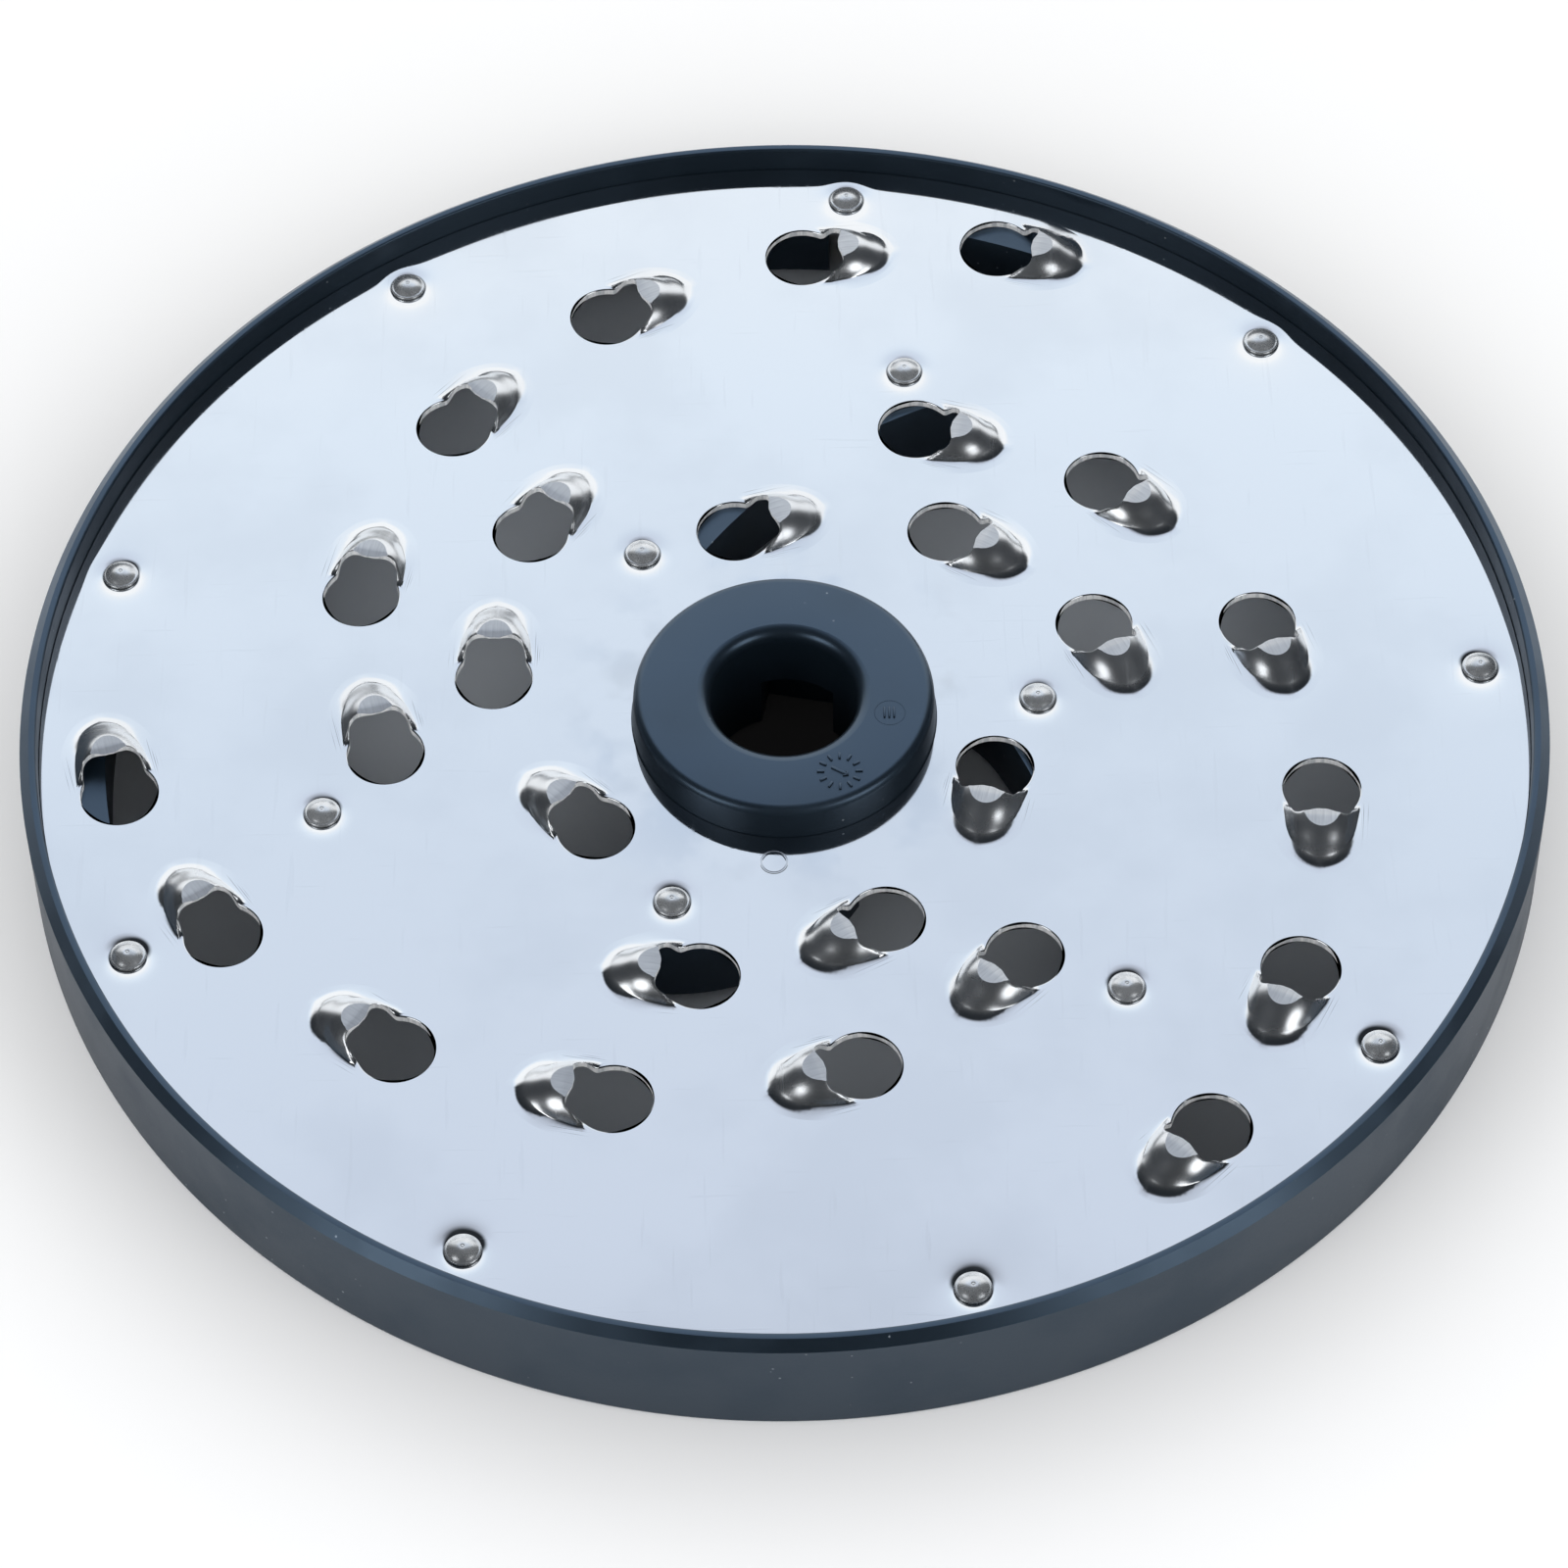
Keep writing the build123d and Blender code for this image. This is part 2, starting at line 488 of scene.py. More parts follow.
    def bump(self, height: object, depth: float, strength: float = 1.0, below: object = None) -> NodeSocket:
        """Normal of a bumped surface.

        Args:
            height: Height as a share of the depth.
            depth: Depth in millimetres.
            strength: Share of the bump that shows.
            below: Normal of a bump that this one lies on.

        Returns:
            The output socket.
        """
        inputs = {"Height": height, "Distance": depth * MM, "Strength": strength}
        if below is not None:
            inputs["Normal"] = below
        return self.add("ShaderNodeBump", inputs).outputs["Normal"]

    def finish(self, **inputs: object) -> Material:
        """Set the surface shader's inputs, named with underscores, and give the material.

        Args:
            inputs: Values or sockets by name.

        Returns:
            The finished material.
        """
        for key, value in inputs.items():
            socket = self.surface.inputs[key.replace("_", " ")]
            colour = isinstance(value, tuple) and len(value) == 3 and socket.type == "RGBA"
            self.put(socket, (*value, 1.0) if colour else value)
        return self.material


@dataclass(frozen=True)
class Mottle:
    """Noise of a finish: its grain, and the band of the noise that shows."""

    scale: float | Triple
    detail: float
    low: float
    high: float
    top: float = 1.0
    turn: float = 0.0


@dataclass(frozen=True)
class PolishedSheet:
    """Mirror-polished stainless sheet, smudged, finely scratched and a little stained round the hub, with
    painted shade in a thin ring round the foot of each rivet.
    """

    clean: Colour = (0.90, 0.93, 0.96)
    dull: Colour = (0.79, 0.825, 0.865)
    warm_stain: Colour = (0.80, 0.78, 0.74)
    blue_stain: Colour = (0.64, 0.75, 0.90)
    scored: Colour = (0.42, 0.44, 0.47)
    collar_shade: Colour = (0.13, 0.135, 0.14)
    gloss: float = 0.05
    drawn_gloss: float = 0.19
    smudge: Mottle = Mottle(42.0, 4.0, 0.42, 0.70)
    stain: Mottle = Mottle(95.0, 3.0, 0.46, 0.66, top=0.75)
    stain_radii: Point = (24.0, 38.0)
    stain_tint: float = 60.0
    scratches: tuple[Mottle, Mottle] = (
        Mottle((900.0, 60.0, 60.0), 3.0, 0.63, 0.72, turn=24.0),
        Mottle((70.0, 1200.0, 60.0), 3.0, 0.66, 0.74, turn=-38.0),
    )
    scratch_depth: float = 0.002
    streak_patches: Mottle = Mottle(85.0, 1.0, 0.40, 0.52)
    streak_lines: Mottle = Mottle((0.12, 6.0, 0.0), 1.0, 0.57, 0.65, turn=6.0)
    streak_off: float = 5.9
    streak_width: Point = (0.25, 0.75)
    streak_middle: float = -6.0
    streak_ends: Point = (2.0, 4.5)
    zone_edge: Point = (0.2, 0.6)
    pull_depth: float = 0.10
    pull_spread: float = 3.6
    dent_depth: float = 0.9
    dent_spread: float = 1.5
    collar_shade_radii: Point = (2.44, 2.68)
    wave_scale: float = 26.0
    wave_depth: float = 0.07
    punch_at: Triple = (-1.66, -24.59, 13.8)
    punch_radius: float = 1.7
    punch_line: Point = (0.06, 0.22)
    punch_depth: float = 0.03

    def dents(self, bench: NodeBench, row: RivetRow, layout: RivetLayout, spread: float) -> NodeSocket:
        """Shallow dents that a row of rivets pulls into the sheet.

        Args:
            bench: Nodes of the material.
            row: Row of rivets.
            layout: Places of the rivets.
            spread: Width of a dent, in millimetres.

        Returns:
            Height of the sheet, 0 at a rivet and 1 away from it.
        """
        places = layout.places(row)
        radius, start = math.hypot(*places[0]), math.atan2(places[0][1], places[0][0])
        pitch = math.tau / len(places)
        parts = bench.add("ShaderNodeSeparateXYZ", {"Vector": bench.place})
        x, y = parts.outputs["X"], parts.outputs["Y"]
        steps = bench.math("DIVIDE", bench.math("SUBTRACT", bench.math("ARCTAN2", y, x), start), pitch)
        local = bench.math("MULTIPLY", bench.math("SUBTRACT", steps, bench.math("ROUND", steps)), pitch)
        reach = bench.math("SQRT", bench.square_sum(x, y))
        across = bench.math("MULTIPLY", reach, bench.math("SINE", local))
        along = bench.math("MULTIPLY", reach, bench.math("COSINE", local))
        square = bench.square_sum(across, bench.math("SUBTRACT", along, radius * MM))
        fall = bench.math("EXPONENT", bench.math("MULTIPLY", square, -0.5 / (spread * MM) ** 2))
        return bench.math("SUBTRACT", 1.0, fall)

    def scores(self, bench: NodeBench) -> NodeSocket:
        """Mask of the fine scratches that cross the whole sheet."""
        return bench.math("MAXIMUM", *(bench.mottle(pattern) for pattern in self.scratches))

    def tool_marks(self, bench: NodeBench, plan: NodeSocket) -> NodeSocket:
        """Streaks that the drawing tool left on both sides of each tooth.

        Args:
            bench: Nodes of the material.
            plan: Plan of the tooth, in millimetres.

        Returns:
            A mask, 1 in a streak.
        """
        zone = bench.add("ShaderNodeAttribute", {}, attribute_name="tooth_zone").outputs["Fac"]
        parts = bench.add("ShaderNodeSeparateXYZ", {"Vector": plan})
        aside = bench.math("SUBTRACT", bench.math("ABSOLUTE", parts.outputs["Y"]), self.streak_off)
        ahead = bench.math("SUBTRACT", parts.outputs["X"], self.streak_middle)
        mask = bench.fit(zone, *self.zone_edge, 0.0, 1.0)
        for off, band in ((aside, self.streak_width), (ahead, self.streak_ends)):
            mask = bench.math("MULTIPLY", mask, bench.fit(bench.math("ABSOLUTE", off), *band, 1.0, 0.0))
        mask = bench.math("MULTIPLY", mask, bench.mottle(self.streak_patches))
        return bench.math("MULTIPLY", mask, bench.mottle(self.streak_lines, plan))

    def punch(self, bench: NodeBench) -> NodeSocket:
        """Plain ring punched into the sheet beside the hub.

        Args:
            bench: Nodes of the material.

        Returns:
            A mask, 1 on the ring's line.
        """
        centre = tuple(value * MM for value in self.punch_at)
        off = bench.add("ShaderNodeVectorMath", {0: bench.place, 1: centre}, operation="DISTANCE")
        line = bench.math("SUBTRACT", off.outputs["Value"], self.punch_radius * MM)
        near, far = (width * MM for width in self.punch_line)
        return bench.fit(bench.math("ABSOLUTE", line), near, far, 1.0, 0.0)

    def material(self, layout: RivetLayout) -> Material:
        """Make the sheet's material.

        Args:
            layout: Places of the rivets that dent the sheet.

        Returns:
            The material.
        """
        bench = NodeBench("polished_sheet")
        plan = bench.add("ShaderNodeAttribute", {}, attribute_name="tooth_plan").outputs["Vector"]
        drawn = bench.add("ShaderNodeSeparateXYZ", {"Vector": plan}).outputs["Z"]
        smudge, scores = bench.mottle(self.smudge), self.scores(bench)
        streaks, punch = self.tool_marks(bench, plan), self.punch(bench)
        reach = bench.add("ShaderNodeVectorMath", {0: bench.place}, operation="LENGTH").outputs["Value"]
        hub_edge, clear = (radius * MM for radius in self.stain_radii)
        stain = bench.math("MULTIPLY", bench.fit(reach, hub_edge, clear, 1.0, 0.0), bench.mottle(self.stain))
        stained = bench.blend(bench.noise(self.stain_tint, 1.0), self.warm_stain, self.blue_stain)
        base, rough = self.clean, self.gloss
        for mask, share, colour in (
            (smudge, 0.5, self.dull), (scores, 0.22, self.dull), (stain, 1.0, stained),
            (drawn, 0.35, self.dull), (streaks, 0.8, self.scored), (punch, 0.45, self.scored),
        ):
            base = bench.blend(bench.math("MULTIPLY", mask, share), base, colour)
        for mask, added in ((smudge, 0.05), (scores, 0.04), (drawn, self.drawn_gloss)):
            rough = bench.math("MULTIPLY_ADD", mask, added, rough)
        normal = bench.bump(self.dents(bench, RivetRow.RIM, layout, self.pull_spread), self.pull_depth)
        # Painted shade: a thin dark ring on the sheet round the foot of each rivet's collar, where shade
        # falls between rivet and sheet.
        inner, outer = (1.0 - math.exp(-0.5 * (radius / self.dent_spread) ** 2) for radius in self.collar_shade_radii)
        for row in RivetRow:
            dent = self.dents(bench, row, layout, self.dent_spread)
            base = bench.blend(bench.fit(dent, inner, outer, 0.9, 0.0), base, self.collar_shade)
            normal = bench.bump(dent, self.dent_depth, 1.0, normal)
        normal = bench.bump(bench.noise(self.wave_scale, 1.0), self.wave_depth, 1.0, normal)
        normal = bench.bump(scores, self.scratch_depth, 0.5, normal)
        normal = bench.bump(bench.math("SUBTRACT", 1.0, punch), self.punch_depth, 1.0, normal)
        return bench.finish(Base_Color=base, Metallic=1.0, Roughness=rough, Normal=normal)


@dataclass(frozen=True)
class GroundSteel:
    """Flats that a grinding wheel left on the crests of the teeth."""

    pale: Colour = (0.66, 0.68, 0.70)
    grey: Colour = (0.46, 0.48, 0.51)
    gloss: float = 0.28
    marks: Mottle = Mottle((0.25, 7.0, 1.0), 3.0, 0.3, 0.7, top=0.6)
    marks_gloss: float = 0.16
    marks_depth: float = 0.012
    cloud: Mottle = Mottle(160.0, 2.0, 0.4, 0.7, top=0.4)

    def material(self) -> Material:
        """Make the ground steel, with its wheel marks along the cut."""
        bench = NodeBench("ground_steel")
        plan = bench.add("ShaderNodeAttribute", {}, attribute_name="tooth_plan").outputs["Vector"]
        marks = bench.grain(self.marks, plan)
        base = bench.blend(bench.shown(self.marks, marks), self.pale, self.grey)
        base = bench.blend(bench.mottle(self.cloud), base, self.grey)
        rough = bench.math("MULTIPLY_ADD", marks, self.marks_gloss, self.gloss)
        normal = bench.bump(marks, self.marks_depth)
        return bench.finish(Base_Color=base, Metallic=1.0, Roughness=rough, Normal=normal)


@dataclass(frozen=True)
class CutSteel:
    """Sheared walls of the holes, matt and pale."""

    pale: Colour = (0.95, 0.96, 0.97)
    grey: Colour = (0.62, 0.65, 0.68)
    gloss: float = 0.36
    metal: float = 0.35
    tears: Mottle = Mottle((1400.0, 1400.0, 120.0), 2.0, 0.38, 0.66)
    tears_gloss: float = 0.2
    tears_depth: float = 0.03

    def material(self) -> Material:
        """Make the sheared steel, with streaks down the wall."""
        bench = NodeBench("cut_steel")
        tears = bench.grain(self.tears)
        base = bench.blend(bench.shown(self.tears, tears), self.pale, self.grey)
        rough = bench.math("MULTIPLY_ADD", tears, self.tears_gloss, self.gloss)
        normal = bench.bump(tears, self.tears_depth)
        return bench.finish(Base_Color=base, Metallic=self.metal, Roughness=rough, Normal=normal)


@dataclass(frozen=True)
class SatinPlastic:
    """Satin black moulding with a blue sheen, fine skin texture, dust and small pale nicks."""

    black: Colour = (0.0022, 0.0052, 0.0088)
    worn: Colour = (0.006, 0.0115, 0.018)
    dust: Colour = (0.34, 0.37, 0.40)
    sheen: Colour = (0.50, 0.72, 1.0)
    gloss: float = 0.29
    index: float = 1.80
    level: float = 0.95
    wall_level: float = 0.45
    wall_gloss: float = 0.13
    wall_turn: Point = (0.25, 0.75)
    cloud: Mottle = Mottle(70.0, 4.0, 0.40, 0.72)
    patches: Mottle = Mottle(38.0, 2.0, 0.50, 0.64)
    rubs: Mottle = Mottle((110.0, 900.0, 300.0), 3.0, 0.66, 0.75, top=0.5, turn=31.0)
    speck_scale: float = 420.0
    speck_size: float = 0.085
    grain_scale: float = 2600.0
    grain_depth: float = 0.004
    ripple_scale: float = 240.0
    ripple_depth: float = 0.02
    texture: float = 0.4

    def material(self) -> Material:
        """Make the moulded plastic."""
        bench = NodeBench("satin_plastic")
        cloud, grain = bench.mottle(self.cloud), bench.noise(self.grain_scale, 2.0)
        specks = bench.specks(self.speck_scale, self.speck_size)
        specks = bench.math("MULTIPLY", specks, bench.mottle(self.patches))
        base, rough = self.black, self.gloss
        for mask, share, colour in (
            (cloud, 0.45, self.worn), (bench.mottle(self.rubs), 1.0, self.worn), (specks, 0.55, self.dust),
        ):
            base = bench.blend(bench.math("MULTIPLY", mask, share), base, colour)
        # Painted shade by facing: upright walls get a lower specular level and more roughness than flat tops,
        # so they reflect less and read darker.
        facing = bench.add("ShaderNodeNewGeometry", {}).outputs["Normal"]
        up = bench.math("ABSOLUTE", bench.add("ShaderNodeSeparateXYZ", {"Vector": facing}).outputs["Z"])
        wall = bench.fit(up, *self.wall_turn, 1.0, 0.0)
        level = bench.math("MULTIPLY_ADD", wall, self.wall_level - self.level, self.level)
        for mask, added in ((cloud, 0.10), (grain, 0.06), (wall, self.wall_gloss)):
            rough = bench.math("MULTIPLY_ADD", mask, added, rough)
        normal = bench.bump(grain, self.grain_depth, self.texture)
        normal = bench.bump(bench.noise(self.ripple_scale, 2.0), self.ripple_depth, self.texture, normal)
        return bench.finish(
            Base_Color=base, Metallic=0.0, Roughness=rough, Normal=normal,
            IOR=self.index, Specular_IOR_Level=level, Specular_Tint=self.sheen,
        )


@dataclass(frozen=True)
class RivetSteel:
    """Bright stainless rivets, slightly dulled and tarnished."""

    bright: Colour = (0.78, 0.81, 0.84)
    dull: Colour = (0.52, 0.55, 0.58)
    gloss: float = 0.20
    metal: float = 0.86
    cloud: Mottle = Mottle(700.0, 3.0, 0.4, 0.75, top=0.7)
    cloud_gloss: float = 0.14
    grain_scale: float = 3500.0
    grain_depth: float = 0.012

    def material(self) -> Material:
        """Make the rivets' material."""
        bench = NodeBench("rivet_steel")
        cloud = bench.grain(self.cloud)
        base = bench.blend(bench.shown(self.cloud, cloud), self.bright, self.dull)
        rough = bench.math("MULTIPLY_ADD", cloud, self.cloud_gloss, self.gloss)
        normal = bench.bump(bench.noise(self.grain_scale, 2.0), self.grain_depth, 0.5)
        return bench.finish(Base_Color=base, Metallic=self.metal, Roughness=rough, Normal=normal)


@dataclass(frozen=True)
class Levels:
    """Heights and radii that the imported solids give, in millimetres."""

    rim_radius: float
    hub_top: float
    sheet_radius: float
    sheet_underside: float
    ground_top: float
    bore_radius: float
    thickness: float = 1.0
    web: float = 3.0

    @property
    def sheet_top(self) -> float:
        """Height of the sheet's flat upper side."""
        return self.sheet_underside + self.thickness

    @classmethod
    def read(cls, record: dict) -> Levels:
        """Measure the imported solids.

        Args:
            record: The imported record, for the bore.

        Returns:
            The levels.
        """
        carrier_low, carrier_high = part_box("carrier")
        sheet_low, sheet_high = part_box("grating_plate")
        bore = next(mount for mount in record["mounts"] if mount["name"] == "drive_bore")
        return cls(
            rim_radius=(carrier_high.x - carrier_low.x) / 2 / MM,
            hub_top=carrier_high.z / MM,
            sheet_radius=(sheet_high.x - sheet_low.x) / 2 / MM,
            sheet_underside=sheet_low.z / MM,
            ground_top=sheet_high.z / MM,
            bore_radius=float(bore["dims"]["r_mm"]),
        )


@dataclass(frozen=True)
class RivetLayout:
    """Places of the rivets, in millimetres and degrees."""

    rim_radius: float = 94.45
    rim_count: int = 9
    middle_radius: float = 63.55
    middle_lag: float = 50.0
    inner_radius: float = 34.35
    arm_angle: float = 3.75
    arm_count: int = 3

    def places(self, row: RivetRow) -> list[Point]:
        """Points of one row of rivets.

        Args:
            row: The row.

        Returns:
            Its points in the plan.
        """
        radius, start, count = {
            RivetRow.RIM: (self.rim_radius, self.arm_angle, self.rim_count),
            RivetRow.MIDDLE: (self.middle_radius, self.arm_angle - self.middle_lag, self.arm_count),
            RivetRow.INNER: (self.inner_radius, self.arm_angle, self.arm_count),
        }[row]
        return [on_circle(radius, start + 360 / count * step) for step in range(count)]

    def all_places(self) -> list[Point]:
        """Points of every rivet."""
        return [place for row in RivetRow for place in self.places(row)]


@dataclass(frozen=True)
class Tooth:
    """One tooth in its own plan: u runs the way it cuts, v across, both from the centre of its hole."""

    hole_radius: float = 5.15
    notch: float = 1.25
    notch_angle: float = 149.0
    notch_spread: float = 27.0
    hood_width: float = 9.9
    hood_height: float = 3.35
    hood_taper: float = 6.0
    taper_start: float = 4.0
    mouth_setback: float = 3.8
    mouth_lean: float = 22.0
    mouth_flare: float = 30.0
    mouth_reach: float = 0.9
    nose_setback: float = 5.9
    nose_radius: float = 8.4
    root_blend: float = 0.2
    nose_blend: float = 2.8
    root_width: float = 0.14
    edge_round: tuple[Point, ...] = ((0.0, 0.13), (0.05, 0.045), (0.15, 0.0))
    mouth_blend: float = 0.25
    swell_height: float = 0.4
    swell_centre: float = -7.0
    swell_length: float = 6.9
    swell_width: float = 6.5
    patch_centre: float = -4.0
    patch_length: float = 10.2
    patch_width: float = 6.9
    segments: int = 76
    climb_rings: int = 8
    away_rings: int = 3
    crowding: float = 0.45
    soft_start: float = 8.0
    soft_length: float = 3.5
    drawn_full: float = 0.3
    foot_steps: int = 40
    foot_halvings: int = 11
    foot_room: Point = (0.7, 0.8)

    def edge_radius(self, angle: float) -> float:
        """Distance of the hole's edge from its centre, with the scoops beside the cutting edge's middle.

        Args:
            angle: Angle from the way it cuts, in radians.

        Returns:
            The distance.
        """
        off = (abs(math.degrees(angle)) - self.notch_angle) / self.notch_spread
        if abs(off) >= 1:
            return self.hole_radius
        return self.hole_radius + self.notch * math.cos(math.pi / 2 * off) ** 2

    def patch_radius(self, angle: float) -> float:
        """Distance from the hole's centre to the oval where the tooth runs out into the flat sheet.

        Args:
            angle: Angle from the way it cuts, in radians.

        Returns:
            The distance.
        """
        along, across = math.cos(angle) / self.patch_length, math.sin(angle) / self.patch_width
        start = self.patch_centre / self.patch_length
        square = along * along + across * across
        inner = along * start
        return (inner + math.sqrt(inner * inner - square * (start * start - 1))) / square

    def rise(self, u: float, v: float) -> float:
        """Height of the drawn surface, negative where the sheet stays flat.

        Args:
            u: Distance along the cut.
            v: Distance across it.

        Returns:
            The height.
        """
        crest = ((self.hood_width / 2) ** 2 + self.hood_height**2) / (2 * self.hood_height)
        sunk = crest - self.hood_height
        slope = math.radians(self.hood_taper)
        shoulder = crest - math.tan(slope) * (self.nose_setback - self.taper_start)
        nose_u = -self.nose_setback + math.sin(slope) * self.nose_radius
        nose_r = shoulder - math.cos(slope) * self.nose_radius
        if u > -self.nose_setback:
            radius = crest - math.tan(slope) * (-u - self.taper_start)
        else:
            radius = nose_r + math.sqrt(max(self.nose_radius**2 - (u - nose_u) ** 2, 0.0))
        square = radius * abs(radius) - v * v
        hood = math.copysign(math.sqrt(abs(square)), square) - sunk
        side = min(2 * abs(v) / self.hood_width, 1.0) ** 2
        lean = math.radians(self.mouth_lean + self.mouth_flare * side)
        mouth = (-u - self.mouth_setback + self.mouth_reach * side) / math.tan(lean)
        return -smooth_max(-hood, -mouth, self.mouth_blend)

    def ring_radii(self, angle: float) -> list[float]:
        """Distances of the patch's rings in one direction, with rings along the foot of the hood.

        Args:
            angle: Angle from the way it cuts, in radians.

        Returns:
            The distances, from the hole's edge out to the flat sheet.
        """
        edge, outer = self.edge_radius(angle), self.patch_radius(angle)
        along, across = math.cos(angle), math.sin(angle)
        pace = (outer - edge) / self.foot_steps
        foot = edge
        for step in range(self.foot_steps):
            if self.rise((edge + pace * step) * along, (edge + pace * step) * across) > 0:
                foot = edge + pace * step
        for halving in range(1, self.foot_halvings + 1):
            beyond = foot + pace / 2**halving
            if self.rise(beyond * along, beyond * across) > 0:
                foot = beyond
        foot = min(max(foot, edge + self.foot_room[0]), outer - self.foot_room[1])
        inside, beyond = foot - self.root_width, foot + self.root_width
        rounded = [edge + off for off, _ in self.edge_round]
        start = rounded[-1]
        climb = [
            start + (inside - start) * step / self.climb_rings for step in range(1, self.climb_rings + 1)
        ]
        away = [beyond + (outer - beyond) * step / self.away_rings for step in range(self.away_rings + 1)]
        return rounded + climb + [foot] + away

    def lift(self, u: float, v: float) -> float:
        """Height of the skin: a low swelling, and the hood with a crisp foot at its flanks and a soft nose.

        Args:
            u: Distance along the cut.
            v: Distance across it.

        Returns:
            The height.
        """
        share = min(max((-u - self.soft_start) / self.soft_length, 0.0), 1.0)
        blend = self.root_blend + (self.nose_blend - self.root_blend) * share * share * (3 - 2 * share)
        off = ((u - self.swell_centre) / self.swell_length) ** 2 + (v / self.swell_width) ** 2
        swell = self.swell_height * max(1.0 - off, 0.0) ** 2
        return smooth_max(self.rise(u, v), swell, blend)

    def patch(self) -> Mesh:
        """Skin of the tooth, from the edge of its hole out to the flat sheet.

        Returns:
            A mesh with the tooth's plan and zone as attributes.
        """
        bm = bmesh.new()
        plan = bm.verts.layers.float_vector.new("tooth_plan")
        zone = bm.verts.layers.float.new("tooth_zone")
        flat = bm.verts.layers.int.new("joins_flat")
        ring = bmesh.ops.create_circle(bm, cap_ends=False, radius=1.0, segments=self.segments)["verts"]
        for vert in ring:
            turn = math.atan2(vert.co.y, vert.co.x)
            angle = turn + self.crowding * math.sin(turn)
            vert.co = Vector((math.cos(angle), math.sin(angle), 0.0)) * self.edge_radius(angle)
        edges = bm.edges[:]
        drops = {vert: self.edge_round[0][1] for vert in ring}
        for step in range(1, len(self.ring_radii(0.0))):
            ring = verts_in(bmesh.ops.extrude_edge_only(bm, edges=edges)["geom"])
            members = set(ring)
            edges = [edge for edge in bm.edges if edge.verts[0] in members and edge.verts[1] in members]
            for vert in ring:
                angle = math.atan2(vert.co.y, vert.co.x)
                vert.co = Vector((math.cos(angle), math.sin(angle), 0.0)) * self.ring_radii(angle)[step]
                drops[vert] = self.edge_round[step][1] if step < len(self.edge_round) else 0.0
        for vert in ring:
            vert[flat] = 1
        for vert in bm.verts:
            lift = 0.0 if vert[flat] else self.lift(vert.co.x, vert.co.y)
            vert[plan] = Vector((vert.co.x, vert.co.y, min(lift / self.drawn_full, 1.0)))
            vert[zone] = 1.0 - vert[flat]
            vert.co.z = lift - drops[vert]
        for face in bm.faces:
            face.normal_update()
        bmesh.ops.reverse_faces(bm, faces=[face for face in bm.faces if face.normal.z < 0])
        return as_mesh(bm, "tooth_patch")


